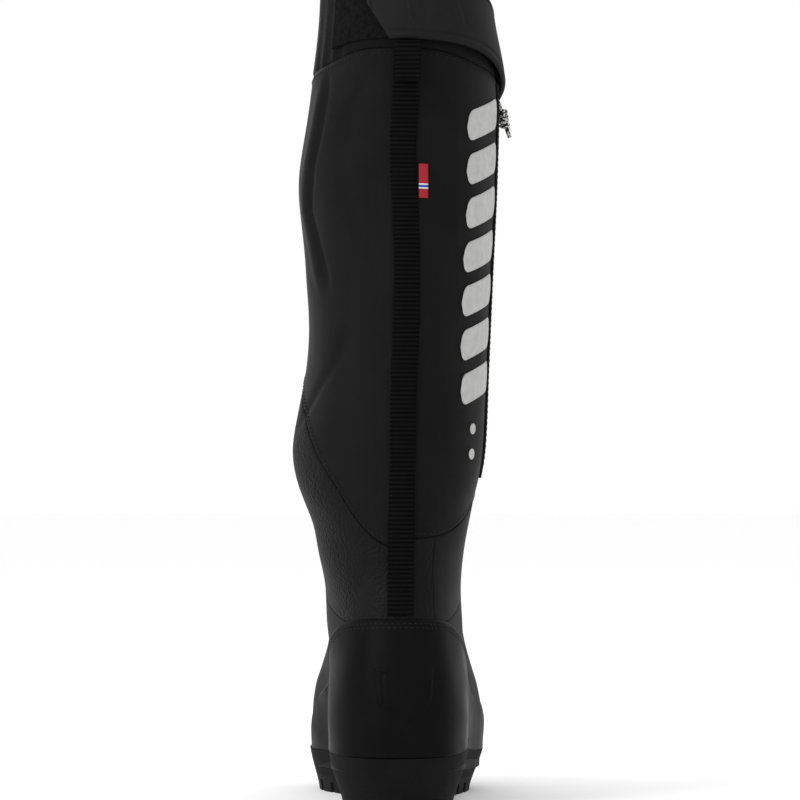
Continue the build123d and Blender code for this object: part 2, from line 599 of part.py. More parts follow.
def back_strip(half_width, low, high):
    """The space of the strip up the back, seen from behind."""
    left = Spline(*[(x - half_width, z) for x, z in WEBBING_MIDDLE])
    right = Spline(*[(x + half_width, z) for x, z in WEBBING_MIDDLE])
    ends = [Line(left @ 0, right @ 0), Line(left @ 1, right @ 1)]
    prism = extrude(Plane.XZ * make_face(Curve() + [left, right] + ends), amount=REACH)
    return Pos(0, HINGE_Y - 30, 0) * prism & box(-60, 60, -REACH, HINGE_Y - 30, low, high)


def heel_webbing():
    return layer(WEBBING + GAP, GAP, back_strip(WEBBING_WIDTH / 2, ANKLE_HEIGHT - 15, CUFF_SEAM - 2))


LOOP_LENGTH = 24.0
LOOP_DEPTH = 5.4
LOOP_X = 6.4
LOOP_TOP = point_at(WEBBING + 3 * GAP + LOOP_DEPTH / 2 + 0.6, 0, CUFF_SEAM + 1)
LOOP_FOOT = point_at(WEBBING + 3 * GAP + LOOP_DEPTH / 2 + 0.6, 0, CUFF_SEAM + 1 - LOOP_LENGTH)


def heel_loop():
    """A loop of webbing that hangs from the cuff's seam."""
    plane = Plane(origin=LOOP_TOP, x_dir=LOOP_FOOT - LOOP_TOP, z_dir=(1, 0, 0))
    middle = LOOP_LENGTH / 2 - LOOP_DEPTH / 2
    ring = Pos(middle, 0) * SlotOverall(LOOP_LENGTH, LOOP_DEPTH)
    ring -= Pos(middle, 0) * SlotOverall(LOOP_LENGTH - 2 * WEBBING, LOOP_DEPTH - 2 * WEBBING)
    return Pos(LOOP_X, 0, 0) * extrude(plane * ring, amount=WEBBING_WIDTH / 2, both=True)


def side_tab():
    """A small woven tab sewn in beside the webbing."""
    space = box(CENTRE_SEAM_X + 9.6, CENTRE_SEAM_X + 15, -REACH, HINGE_Y - 30, CUFF_SEAM - 88, CUFF_SEAM - 68)
    return layer(GAP + 0.9, GAP, space)


def reflective_marks():
    """A column of plain slanted bars and two dots, in place of any printing."""
    marks = []
    for i in range(MARKS):
        low = ANKLE_HEIGHT + (0.29 + 0.07 * i) * LEG
        grid = [
            [point_at(2.4 * GAP + 0.25, pi * (0.245 + 0.05 * across), low + 2.6 * across + 9 * up) for up in range(3)]
            for across in range(5)
        ]
        marks.append(Solid.thicken(Face.make_surface_from_array_of_points(grid), 0.35))
    for share in (0.215, 0.255):
        disc = tangent_plane(GAP + 0.45, pi * 0.32, ANKLE_HEIGHT + share * LEG) * Cylinder(3.2, 0.35)
        marks += disc.solids()
    return Compound(children=marks)


# ---- cuff strap ------------------------------------------------------------------------------------
STRAP_LOW = [(HEEL_Y - 20, CUFF_SEAM + 5), (HEEL_Y + 24, CUFF_SEAM + 4), (HEEL_Y + 51, CUFF_SEAM - 3)]
STRAP_LOW += [(HEEL_Y + 81, CUFF_SEAM - 15), (HEEL_Y + 112, CUFF_SEAM - 28), (HEEL_Y + 152, CUFF_SEAM - 42)]
STRAP_IN = 3 * GAP + 2 * PATCH
ANCHOR_Y = HEEL_Y + 126.0  # where the strap is sewn on, in front of the zip
FREE_END_X = -17.0


def strap_band(margin):
    return side_prism(raised(STRAP_LOW, margin), raised(STRAP_LOW, STRAP_WIDTH - margin)[::-1])


def rear_space(x0, x1, y1):
    return box(x0, x1, -REACH, y1, 300, 600)


def closure_strap():
    """Moulded strap from its anchor round the outer side to the back. Its free end has cut corners."""
    band = layer(STRAP_IN + STRAP_THICKNESS, STRAP_IN, strap_band(0), rear_space(FREE_END_X, REACH, ANCHOR_Y))
    cut = Polyline(
        (FREE_END_X - 60, CUFF_SEAM - 45), (FREE_END_X + 14, CUFF_SEAM - 45),
        (FREE_END_X + 12, CUFF_SEAM + 7), (FREE_END_X, CUFF_SEAM + 27),
        (FREE_END_X, CUFF_SEAM + 36), (FREE_END_X + 12, CUFF_SEAM + 60), (FREE_END_X - 60, CUFF_SEAM + 60), close=True
    )
    return band - Pos(0, HINGE_Y - 30, 0) * extrude(Plane.XZ * make_face(cut), amount=REACH)


def hook_patch():
    inner = GAP + PATCH + GAP
    return layer(inner + PATCH, inner, strap_band(4), rear_space(FREE_END_X + 14, 30, HINGE_Y - 30))


def loop_patch():
    return layer(GAP + PATCH, GAP, strap_band(1), rear_space(-38, 32, HINGE_Y - 30))


def strap_anchor():
    """The strap's sewn foot on the cuff, in front of its fold."""
    space = box(0, REACH, ANCHOR_Y + GAP + 0.5, ANCHOR_Y + 16, 300, 600)
    return layer(STRAP_THICKNESS + GAP, GAP, strap_band(0), space)


# ---- inner lacing ------------------------------------------------------------------------------------
INSTEP = Plane(origin=(0, BALL_Y - 20, 136), x_dir=(-1, 0, 0), z_dir=(0, 0.72, 0.69))
LACE_STEP = 11.0
LACE_HALF = TONGUE_WIDTH / 2 + 6


def instep_box(x0, x1, v0, v1):
    return INSTEP * box(x0, x1, v0, v1, -60, 60)


def laces():
    """Ladder lacing of the bootie: rows across the tongue, joined by runs along alternate edges."""
    half = LACE / 2
    runs = Part()
    for i in range(LACE_ROWS):
        v = i * LACE_STEP
        runs += instep_box(-LACE_HALF, LACE_HALF, v - half, v + half)
        if i:
            side = LACE_HALF if i % 2 else -LACE_HALF
            runs += instep_box(side - half, side + half, v - LACE_STEP - half, v + half)
    middle = (INSIDE_SKIN + LINER_OUT) / 2
    return layer(middle + half, middle - half, runs, over([(HEEL_Y, 60), (TOE_Y, 60)]))


def tangent_plane(distance, angle, height):
    """A plane that lies on a moved form at a point, with x round the form and z out of it."""
    round_it = point_at(distance, angle + 0.05, height) - point_at(distance, angle - 0.05, height)
    up = point_at(distance, angle, height + 3) - point_at(distance, angle, height - 3)
    return Plane(origin=point_at(distance, angle, height), x_dir=round_it, z_dir=round_it.cross(up))


def angle_beside(x, distance, height):
    """The angle at which a moved form stands x to the side of the front line."""
    low, high = pi / 2, pi
    for _ in range(24):
        middle = (low + high) / 2
        low, high = (middle, high) if point_at(distance, middle, height).X > x else (low, middle)
    return high


def lace_loops():
    """Webbing tabs on the bootie, just outside the rows' ends."""
    middle = (INSIDE_SKIN + LINER_OUT) / 2
    loops = []
    for i in range(LACE_ROWS):
        height = 126 + 0.86 * LACE_STEP * i
        beside = angle_beside(LACE_HALF + LACE / 2 + GAP + LOOP_TAB / 2, middle, height)
        for angle in (beside, 2 * pi - beside):
            loops += (tangent_plane(middle, angle, height) * Box(LOOP_TAB, 4, 1.1)).solids()
    return Compound(children=loops)


# ---- writing -----------------------------------------------------------------------------------------
if __name__ == "__main__":
    os.makedirs("parts", exist_ok=True)
    write("outsole", outsole())
    write("midsole", midsole())
    write("shank", shank_prism())
    write("insole_board", insole_board())
    write("footbed", footbed())
    write("heel_stiffener", heel_stiffener())
    write("toe_stiffener", toe_stiffener())
    write("inner_boot", liner())
    write("tongue", tongue())
    write("laces", laces())
    write("lace_loops", lace_loops())
    upper = lower_skin()
    write("vamp", vamp(upper))
    inner_quarter, outer_quarter = quarters(upper)
    write("quarter_medial", inner_quarter)
    write("quarter_lateral", outer_quarter)
    write("heel_cup", heel_cup())
    write("toe_cap", toe_cap())
    write("ankle_panel", ankle_panel())
    write("ankle_side_panel", ankle_side_panel())
    gaiter = gaiter_skin()
    write("gaiter_medial", gaiter_medial(gaiter))
    write("gaiter_lateral", gaiter_lateral(gaiter))
    write("shaft_lining", shaft_lining())
    write("cuff_band", cuff_band())
    write("cuff_binding", cuff_binding())
    write("heel_webbing", heel_webbing())
    write("heel_loop", heel_loop())
    write("side_tab", side_tab())
    write("reflective_marks", reflective_marks())
    write("zip_tapes", zip_tapes())
    write("zip_teeth", zip_teeth())
    write("zip_stops", zip_stops())
    write("zip_slider", zip_slider())
    write("zip_pull", zip_pull())
    write("zip_welts", zip_welts())
    write("closure_strap", closure_strap())
    write("hook_patch", hook_patch())
    write("loop_patch", loop_patch())
    write("strap_anchor", strap_anchor())
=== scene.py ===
"""A right mountaineering boot: lugged sole, coated foot, knee-high gaiter with a side zip, and a cuff strap."""

import json

import bpy
import numpy as np
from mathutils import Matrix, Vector


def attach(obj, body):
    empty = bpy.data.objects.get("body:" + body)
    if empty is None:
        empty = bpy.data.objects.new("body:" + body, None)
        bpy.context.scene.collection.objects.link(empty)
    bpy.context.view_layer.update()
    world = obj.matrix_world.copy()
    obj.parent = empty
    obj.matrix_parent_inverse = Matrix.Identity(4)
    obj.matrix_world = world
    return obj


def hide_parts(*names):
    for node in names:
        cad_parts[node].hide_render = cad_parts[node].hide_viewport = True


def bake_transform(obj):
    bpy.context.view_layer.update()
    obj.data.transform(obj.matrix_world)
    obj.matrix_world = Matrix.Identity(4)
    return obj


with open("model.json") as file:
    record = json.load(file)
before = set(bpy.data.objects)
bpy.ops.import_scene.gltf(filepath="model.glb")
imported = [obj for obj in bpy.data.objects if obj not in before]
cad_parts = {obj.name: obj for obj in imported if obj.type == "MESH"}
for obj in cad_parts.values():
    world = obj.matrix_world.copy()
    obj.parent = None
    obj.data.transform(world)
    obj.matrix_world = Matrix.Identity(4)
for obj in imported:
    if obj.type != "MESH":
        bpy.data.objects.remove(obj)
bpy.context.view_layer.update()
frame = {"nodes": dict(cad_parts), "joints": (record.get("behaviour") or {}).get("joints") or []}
nodes = frame["nodes"]


# ---- Foot upper ----------------------------------------------------------------------------------
# Coated nylon in three panels, a vamp and two quarters. They are sewn together behind the ball of the
# foot, pulled over the last, and glued under the board inside the midsole's cup.
HEEL, TOE, ANKLE, TOP = -152.0, 152.0, 128.0, 497.0  # millimetres, as all shapes here until they are meshed
LEG = TOP - ANKLE
B, H, A, C = 52.5, 37.0, 41.0, 57.0  # half widths at the ball, heel, ankle and calf
WIDTH_PLACES = np.array([0.0, 0.13, 0.45, 0.70, 1.0])
last_rings = [
    (HEEL + 8, -4, TOE - 7, 4, (66, H + 17, H - 5, B + 2, 70), (66, H + 17, H + 2, B + 2, 64)),
    (HEEL + 6, 19, TOE - 5, 31, (68, H + 18, H - 4, B + 3, 72), (68, H + 18, H + 3, B + 3, 65)),
    (HEEL + 4, 35, TOE - 5, 51, (70, H + 18, H - 3, B + 4, 73), (70, H + 18, H + 4, B + 4, 66)),
    (HEEL + 3, 50, TOE - 13, 70, (69, H + 18, H - 1, B + 2, 68), (69, H + 18, H + 4, B + 1, 62)),
    (HEEL + 4, 65, TOE - 36, 85, (66, H + 16, H + 1, B - 3, 58), (66, H + 16, H + 4, B - 4, 54)),
    (HEEL + 6, 80, TOE - 68, 101, (62, H + 12, H + 3, B - 8, 49), (62, H + 12, H + 3, B - 9, 47)),
    (HEEL + 9, 96, TOE - 98, 121, (54, H + 8, A + 1, A, 43), (54, H + 7, A - 2, A - 2, 42)),
    (HEEL + 13, 114, TOE - 124, 146, (46, A + 2, A + 2, A, 42), (46, A, A - 3, A - 2, 41)),
    (HEEL + 15, 134, TOE - 142, 172, (44, A + 5, A + 6, A + 3, 43), (42, A, A - 1, A, 42)),
]
leg_rings = [
    (HEEL + 14, 0.09, TOE - 152.5, 0.19, C - 2, C - 12),
    (HEEL + 13, 0.19, TOE - 151, 0.25, C + 4.5, C - 6),
    (HEEL + 15, 0.35, TOE - 150, 0.37, C - 4, C - 3.5),
    (HEEL + 17, 0.52, TOE - 148.5, 0.50, C - 3, C - 1),
    (HEEL + 18, 0.68, TOE - 146, 0.63, C + 0.5, C + 1.5),
    (HEEL + 21, 0.83, TOE - 146, 0.77, C - 6, C + 2),
    (HEEL + 26, 0.94, TOE - 150, 0.89, C - 11, C - 5),
    (HEEL + 29, 1.00, TOE - 153, 0.955, C - 12, C - 7),
]
last_rings += [(b, ANKLE + p * LEG, f, ANKLE + q * LEG, (i,) * 5, (o,) * 5) for b, p, f, q, i, o in leg_rings]
BACK = np.array([ring[0:2] for ring in last_rings], float)
FRONT = np.array([ring[2:4] for ring in last_rings], float)
BACK[-1, 1] += 14
FRONT[-1, 1] += 14
INNER = np.array([ring[4] for ring in last_rings], float)
OUTER = np.array([ring[5] for ring in last_rings], float)


def through_knots(xs, ys, at):
    """Cubic pieces through knots (xs, ys); each knot's slope is the mean of the steps beside it. ys may have
    one column per value of at."""
    xs, at = np.asarray(xs, float), np.asarray(at, float)
    ys = np.asarray(ys, float)
    if ys.ndim == 1:
        ys = np.repeat(ys[:, None], at.size, 1)
    steps = (ys[1:] - ys[:-1]) / (xs[1:] - xs[:-1])[:, None]
    slopes = np.vstack([steps[:1], (steps[1:] + steps[:-1]) / 2, steps[-1:]])
    flat = np.clip(at.ravel(), xs[0], xs[-1])
    i = np.clip(np.searchsorted(xs, flat, "right") - 1, 0, len(xs) - 2)
    k = np.arange(flat.size)
    h = xs[i + 1] - xs[i]
    t = (flat - xs[i]) / h
    low, high = ys[i, k], ys[i + 1, k]
    a, b = slopes[i, k] * h, slopes[i + 1, k] * h
    rise = high - low
    return (low + t * a + t * t * (3 * rise - 2 * a - b) + t**3 * (a + b - 2 * rise)).reshape(at.shape)


def last(angle, u):
    """The last's surface. On ring u, a point is back + share x (front - back), share = (1 - cos angle) / 2, and
    it stands off to the side by sin angle times the ring's width there. Rings join by smooth curves in u."""
    shape = np.broadcast(angle, u).shape
    a = np.broadcast_to(angle, shape).ravel()
    share = (1 - np.cos(a)) / 2
    outer = np.stack([through_knots(WIDTH_PLACES, w, share) for w in OUTER])
    inner = np.stack([through_knots(WIDTH_PLACES, w, share) for w in INNER])
    x = np.sin(a) * np.where(np.sin(a) >= 0, outer, inner)
    y = BACK[:, :1] + share * (FRONT[:, :1] - BACK[:, :1])
    z = BACK[:, 1:] + share * (FRONT[:, 1:] - BACK[:, 1:])
    rings = np.arange(len(BACK))
    at = np.broadcast_to(u, shape).ravel()
    return np.stack([through_knots(rings, v, at) for v in (x, y, z)], -1).reshape(*shape, 3)


def outward(angle, u):
    """Unit normals of the last: the cross product of its steps in angle and in u."""
    across = last(angle + 0.01, u) - last(angle - 0.01, u)
    up = last(angle, np.minimum(u + 0.02, 16)) - last(angle, np.maximum(u - 0.02, 0))
    n = np.cross(across, up)
    return n / np.linalg.norm(n, axis=-1, keepdims=True)


def ring_at(angle, line, lift=0.0):
    """The ring number u where the last crosses a side-view line z(y), by halving the range of u 26 times."""
    low, high = np.zeros_like(angle), np.full_like(angle, 16.0)
    for _ in range(26):
        middle = (low + high) / 2
        p = last(angle, middle)
        below = p[..., 2] < through_knots(line[:, 0], line[:, 1], p[..., 1]) + lift
        low, high = np.where(below, middle, low), np.where(below, high, middle)
    return (low + high) / 2


def patch_grid(angles, levels, rows):
    """A grid of (angle, u): columns at the angles, and rows evenly spaced between each pair of levels."""
    us = [ring_at(angles, np.array(line, float), lift) for line, lift in levels]
    parts = [np.linspace(0, 1, n, endpoint=False)[:, None] * (b - a) + a for a, b, n in zip(us, us[1:], rows)]
    u = np.vstack(parts + [us[-1][None]])
    return np.broadcast_to(angles, u.shape), u


def shell(name, outside, inside, keep=None, wrap=False):
    """A closed wall: the outer grid, the inner grid turned round, and a rim along every edge with one cell."""
    rows, cols = outside.shape[:2]
    index = np.arange(rows * cols).reshape(rows, cols)
    right = np.roll(index, -1, 1) if wrap else index[:, 1:]
    left = index if wrap else index[:, :-1]
    cells = np.stack([left[:-1], right[:-1], right[1:], left[1:]], -1)
    cells = (cells if keep is None else cells[keep]).reshape(-1, 4)
    edges = np.concatenate([cells[:, [k, (k + 1) % 4]] for k in range(4)])
    code = edges[:, 0] * rows * cols + edges[:, 1]
    back = edges[:, 1] * rows * cols + edges[:, 0]
    rim = edges[~np.isin(code, back)]
    n = rows * cols
    walls = np.stack([rim[:, 1], rim[:, 0], rim[:, 0] + n, rim[:, 1] + n], 1)
    faces = np.concatenate([cells, cells[:, ::-1] + n, walls])
    points = np.concatenate([outside.reshape(-1, 3), inside.reshape(-1, 3)]) / 1000
    used = np.unique(faces)
    new = np.zeros(len(points), int)
    new[used] = np.arange(len(used))
    mesh = bpy.data.meshes.new(name)
    mesh.from_pydata(points[used], [], new[faces].tolist())
    mesh.polygons.foreach_set("use_smooth", np.arange(len(faces)) < 2 * len(cells))
    obj = bpy.data.objects.new(name, mesh)
    bpy.context.scene.collection.objects.link(obj)
    return obj


def cloth_uv(obj, across, up):
    """A UV map in metres: across the piece and up it, the same on both sides of the wall."""
    both = np.concatenate([np.stack([across, up], -1).reshape(-1, 2)] * 2) / 1000
    loops = np.zeros(len(obj.data.loops), int)
    obj.data.loops.foreach_get("vertex_index", loops)
    layer = obj.data.uv_layers.new(name="Cloth")
    layer.data.foreach_set("uv", both[loops].astype(np.float32).ravel())


def panel(name, angles, levels, rows, out, thick, relief=None, keep=None, wrap=False):
    """A piece of the boot's skin: the last moved out along its normals by out plus the relief, with a wall."""
    a, u = patch_grid(np.asarray(angles, float), levels, rows)
    p, n = last(a, u), outward(a, u)
    lift = out + (relief(a, p) if relief else 0.0 * a)
    return shell(name, p + n * lift[..., None], p + n * (lift - thick)[..., None], keep, wrap)


def material(name, colour, rough, **sockets):
    """A shader with one colour and roughness and a low shine, ready for its detail."""
    m = bpy.data.materials.new(name)
    m.use_nodes = True
    shader = m.node_tree.nodes["Principled BSDF"]
    shader.inputs["Base Color"].default_value = (*colour, 1)
    shader.inputs["Roughness"].default_value = rough
    shader.inputs["Specular IOR Level"].default_value = 0.04
    for socket, value in sockets.items():
        shader.inputs[socket.replace("_", " ")].default_value = value
    return m


def add_node(m, kind, links=(), **values):
    """A node with its values set and its inputs linked from (socket, node, output)."""
    node = m.node_tree.nodes.new("ShaderNode" + kind)
    for key, value in values.items():
        if hasattr(node, key):
            setattr(node, key, value)
        else:
            node.inputs[key.replace("_", " ")].default_value = value
    for socket, source, output in links:
        m.node_tree.links.new(source.outputs[output], node.inputs[socket])
    return node


def feed(m, socket, node, output):
    m.node_tree.links.new(node.outputs[output], m.node_tree.nodes["Principled BSDF"].inputs[socket])


def bump_from(m, node, output, strength, distance, **values):
    """Fine relief: the shader's normal is bent by a pattern's height."""
    bump = add_node(m, "Bump", [("Height", node, output)], Strength=strength, Distance=distance, **values)
    feed(m, "Normal", bump, "Normal")


def mottle(m, coords, colour, low, high, scale):
    """Uneven dye or dust: the colour is multiplied by a broad noise between two shares."""
    noise = add_node(m, "TexNoise", [("Vector", coords, "Object")], Scale=scale, Detail=5.0)
    ramp = add_node(m, "ValToRGB", [("Fac", noise, "Fac")])
    ramp.color_ramp.elements[0].position, ramp.color_ramp.elements[1].position = 0.32, 0.68
    ramp.color_ramp.elements[0].color = (*[c * low for c in colour], 1)
    ramp.color_ramp.elements[1].color = (*[c * high for c in colour], 1)
    feed(m, "Base Color", ramp, "Color")
    return noise


def nylon(name, colour, rough, thread, depth, sheen=0.005):
    """Plain-weave coated nylon: two crossed sets of fine threads, uneven dye and a soft sheen."""
    m = material(name, colour, rough, Sheen_Weight=sheen, Sheen_Roughness=0.5)
    coords = add_node(m, "TexCoord")
    mottle(m, coords, colour, 0.82, 1.2, 26.0)
    warp = add_node(m, "TexWave", [("Vector", coords, "Object")], bands_direction="X", Scale=thread, Distortion=0.6)
    weft = add_node(m, "TexWave", [("Vector", coords, "Object")], bands_direction="Z", Scale=thread, Distortion=0.6)
    both = add_node(m, "Math", [(0, warp, "Fac"), (1, weft, "Fac")], operation="MULTIPLY")
    soft = add_node(m, "TexNoise", [("Vector", coords, "Object")], Scale=90.0, Detail=4.0)
    total = add_node(m, "Math", [(0, soft, "Fac"), (1, both, "Value")], operation="ADD")
    bump_from(m, total, "Value", depth, 0.0006)
    return m


def fit_out(piece, finish, stands_for, body):
    """A finished piece gets its material and slot, the node that it stands for, and the body that it rides."""
    piece.data.materials.append(finish)
    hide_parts(stands_for)
    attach(piece, body)


FOOT_FLOOR = [(HEEL - 20, 22), (-60, 20.5), (-3, 15.5), (55, 15), (107, 18.5), (TOE + 20, 30.5)]
ANKLE_LOW = [(HEEL - 20, 107), (-125, 108), (-61, 125), (0, 155), (30, 175), (TOE, 198)]
SKIN = 1.8  # the wall of the foot upper and of the gaiter
upper_nylon = nylon("upper_nylon", (0.0055, 0.0055, 0.0057), 0.55, 480.0, 0.5)
BACK_SEAM = 0.052  # angle of the back seam, under the webbing
TURN = 2 * np.pi


VAMP_EDGE = 2.362  # angle of the seams between the vamp and the quarters
quarter_spans = {
    "quarter_lateral": np.linspace(BACK_SEAM, VAMP_EDGE - 0.003, 90),
    "quarter_medial": np.linspace(TURN - VAMP_EDGE + 0.003, TURN + BACK_SEAM - 0.006, 90),
}
for name, angles in quarter_spans.items():
    quarter = panel(name + "_nylon", angles, [(FOOT_FLOOR, 0.3), (ANKLE_LOW, 0)], [60], 0.0, SKIN)
    fit_out(quarter, upper_nylon, name, "foot")
vamp_angles = np.linspace(VAMP_EDGE, TURN - VAMP_EDGE, 150)
vamp = panel("vamp_nylon", vamp_angles, [(FOOT_FLOOR, 0.3), (ANKLE_LOW, 0)], [90], 0.0, SKIN)
fit_out(vamp, upper_nylon, "vamp", "foot")


# ---- Rand: heel cup and toe cap ------------------------------------------------------------------
# Smooth rubber-coated fabric, moulded round the heel and toe and cemented over the nylon. The cup's edge
# falls forward along both sides to the midsole. A plain raised shield marks the heel.
LIP = [(HEEL - 20, 30.5), (HEEL + 20, 31), (HEEL + 60, 33.5), (-61, 38), (-31, 32), (9, 27), (55, 25.5), (112, 28)]
LIP += [(TOE + 20, 38)]
CUP_TOP = [(HEEL - 20, 112), (HEEL + 28, 110), (HEEL + 90, 92), (0, 70), (45, 50), (80, 12)]
rand_rubber = material("rand_rubber", (0.004, 0.0039, 0.0039), 0.55, Specular_IOR_Level=0.02)
coords = add_node(rand_rubber, "TexCoord")
broad = mottle(rand_rubber, coords, (0.004, 0.0039, 0.0039), 0.85, 1.25, 34.0)
grain = add_node(rand_rubber, "TexNoise", [("Vector", coords, "Object")], Scale=1400.0, Detail=3.0)
bump_from(rand_rubber, grain, "Fac", 0.25, 0.0003)
scuff = add_node(
    rand_rubber, "MapRange", [("Value", broad, "Fac")], From_Min=0.3, From_Max=0.7, To_Min=0.36, To_Max=0.52
)
feed(rand_rubber, "Roughness", scuff, "Result")


def smooth_step(x, low, high):
    t = np.clip((x - low) / (high - low), 0, 1)
    return t * t * (3 - 2 * t)


def cup_relief(angle, p):
    """Thin at its upper edge, with a raised shield at the back: flat top, pointed foot, sloping rim 1.6 wide."""
    x, z = p[..., 0] - 4, p[..., 2]
    half = np.interp(z, [50, 63, 84], [0, 15, 17])
    inside = np.minimum(np.minimum(half - np.abs(x), 84 - z), z - 50)
    shield = 0.9 * smooth_step(inside, 0, 1.6) * (np.abs(np.angle(np.exp(1j * angle))) < 1)
    groove = -0.5 * np.exp(-(((inside - 4.2) / 0.7) ** 2)) * (inside > 0)
    top = through_knots(*zip(*CUP_TOP), p[..., 1])
    edge = -0.7 * (1 - smooth_step(top - z, 0.0, 1.6))
    return shield + groove * (shield > 0.1) + edge


def reaches(angles, line, lift, over):
    """Which angles have the line above the lip, so that the cup covers them."""
    return ring_at(angles, np.array(line, float), lift) > ring_at(angles, np.array(LIP, float), over)


cup_angles = np.linspace(-2.62, 2.62, 401)
cup_angles = cup_angles[reaches(cup_angles % TURN, CUP_TOP, -0.5, 0.3)]
cup = panel("heel_cup_rand", cup_angles, [(LIP, 0.3), (CUP_TOP, 0)], [70], 1.6, 1.3, cup_relief)
fit_out(cup, rand_rubber, "heel_cup", "foot")


def toe_relief(angle, p):
    back = through_knots([20, 52, 110], [TOE - 76, TOE - 62, TOE - 48], p[..., 2])
    return -0.7 * (1 - smooth_step(p[..., 1] - back, 0.0, 2.0))


def toe_grid(rows, cols):
    """Columns by angle from the outer to the inner side, and rows from the lip to the cap's edge over the toe:
    the edge is found on each column by halving u until y meets the slanted edge."""
    angles = np.linspace(2.42, TURN - 2.42, cols)
    low = ring_at(angles, np.array(LIP, float), 0.3)
    a, b = low.copy(), np.full_like(low, 9.0)
    for _ in range(26):
        middle = (a + b) / 2
        p = last(angles, middle)
        ahead = p[:, 1] > through_knots([10, 52, 110], [TOE - 76, TOE - 62, TOE - 48], p[:, 2])
        a, b = np.where(ahead, middle, a), np.where(ahead, b, middle)
    keep = b - low > 0.02
    angles, low, high = angles[keep], low[keep], b[keep]
    u = low + (high - low) * np.linspace(0, 1, rows)[:, None]
    return np.broadcast_to(angles, u.shape), u


a, u = toe_grid(60, 240)
p, n = last(a, u), outward(a, u)
lift = (1.6 + toe_relief(a, p))[..., None]
toe_cap = shell("toe_cap_rand", p + n * lift, p + n * 0.3)
fit_out(toe_cap, rand_rubber, "toe_cap", "foot")


# ---- Sole ----------------------------------------------------------------------------------------
# A dark grey foamed midsole, moulded as a cup round the foot, with a black rubber tread cemented under it.
# A fibre strip stiffens the waist between the midsole and the board.
midsole_foam = material("midsole_foam", (0.005, 0.005, 0.0051), 0.7)
coords = add_node(midsole_foam, "TexCoord")
mottle(midsole_foam, coords, (0.005, 0.005, 0.0051), 0.85, 1.25, 40.0)
grain = add_node(midsole_foam, "TexNoise", [("Vector", coords, "Object")], Scale=900.0, Detail=6.0)
bump_from(midsole_foam, grain, "Fac", 0.6, 0.0004)
tread_rubber = material("tread_rubber", (0.005, 0.005, 0.005), 0.62)
coords = add_node(tread_rubber, "TexCoord")
mottle(tread_rubber, coords, (0.005, 0.005, 0.005), 0.8, 1.6, 60.0)
grain = add_node(tread_rubber, "TexNoise", [("Vector", coords, "Object")], Scale=700.0, Detail=6.0)
bump_from(tread_rubber, grain, "Fac", 0.5, 0.0004)


def finish_node(name, finish):
    """A carried-over solid takes a finish in place of its plain one."""
    nodes[name].data.materials.clear()
    nodes[name].data.materials.append(finish)


finish_node("midsole", midsole_foam)
finish_node("outsole", tread_rubber)


# ---- Inside the foot -----------------------------------------------------------------------------
# Fibreboard under the foot, thermoformed stiffeners at heel and toe, a felted footbed, and a removable
# foam inner boot with its own tongue and lace.
board_fibre = material("board_fibre", (0.30, 0.27, 0.22), 0.8)
mottle(board_fibre, add_node(board_fibre, "TexCoord"), (0.30, 0.27, 0.22), 0.8, 1.1, 300.0)
stiffener_sheet = material("stiffener_sheet", (0.12, 0.12, 0.12), 0.5)
mottle(stiffener_sheet, add_node(stiffener_sheet, "TexCoord"), (0.12, 0.12, 0.12), 0.85, 1.1, 200.0)
felt = nylon("footbed_felt", (0.06, 0.065, 0.075), 0.95, 260.0, 0.9, 0.5)
lace_braid = nylon("lace_braid", (0.05, 0.05, 0.05), 0.7, 500.0, 0.9)
for name, finish in {
    "insole_board": board_fibre,
    "shank": stiffener_sheet,
    "heel_stiffener": stiffener_sheet,
    "toe_stiffener": stiffener_sheet,
    "footbed": felt,
    "laces": lace_braid,
    "lace_loops": lace_braid,
}.items():
    finish_node(name, finish)

liner_foam = nylon("liner_foam", (0.025, 0.025, 0.028), 0.85, 300.0, 0.8, 0.05)
LINER_TOP = [(HEEL - 20, ANKLE + 48), (TOE, ANKLE + 96)]
LINER_LOW = [(y, z + 2.5) for y, z in FOOT_FLOOR]


def bootie_relief(angle, p):
    """The tongue's two edges as grooves down the instep, and shallow quilting over the rest."""
    front = (np.cos(angle) < 0) & (p[..., 1] < 37)
    edge = -1.2 * np.exp(-(((np.abs(p[..., 0]) - 23) / 1.1) ** 2)) * front
    quilt = 0.35 * np.abs(np.sin(p[..., 2] / 9.0)) ** 0.5
    return edge + quilt - 0.35


round_angles = np.linspace(0, TURN, 240, endpoint=False)
bootie = panel(
    "inner_boot_foam", round_angles, [(LINER_LOW, 0), (LINER_TOP, 0)], [120], -4.9, 3.5, bootie_relief, wrap=True
)
bootie.data.materials.append(liner_foam)
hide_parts("inner_boot", "tongue")
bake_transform(bootie)


# ---- Ankle panels --------------------------------------------------------------------------------
# Pebbled ballistic fabric round the inner side and the heel tendon, with smooth nylon on the outer side.
# Both are soft, so that the ankle bends, and are sewn into the gaiter above and the quarters below.
INNER_SEAM = [(HEEL - 20, 146), (HEEL + 13, 151), (HEEL + 26, 187), (-78, 239), (-20, 262), (TOE, 278)]
OUTER_SEAM = [(HEEL - 20, 158), (HEEL + 26, 160), (-100, 170), (-58, 186), (5, 206), (TOE, 228)]
pebbled = material("pebbled_ballistic", (0.0055, 0.0053, 0.0053), 0.5)
coords = add_node(pebbled, "TexCoord")
mottle(pebbled, coords, (0.0055, 0.0053, 0.0053), 0.85, 1.25, 30.0)
pebbles = add_node(pebbled, "TexVoronoi", [("Vector", coords, "Object")], Scale=520.0)
height = add_node(pebbled, "Math", [(0, pebbles, "Distance")], operation="POWER")
height.inputs[1].default_value = 1.6
bump_from(pebbled, height, "Value", 0.8, 0.0006, invert=True)


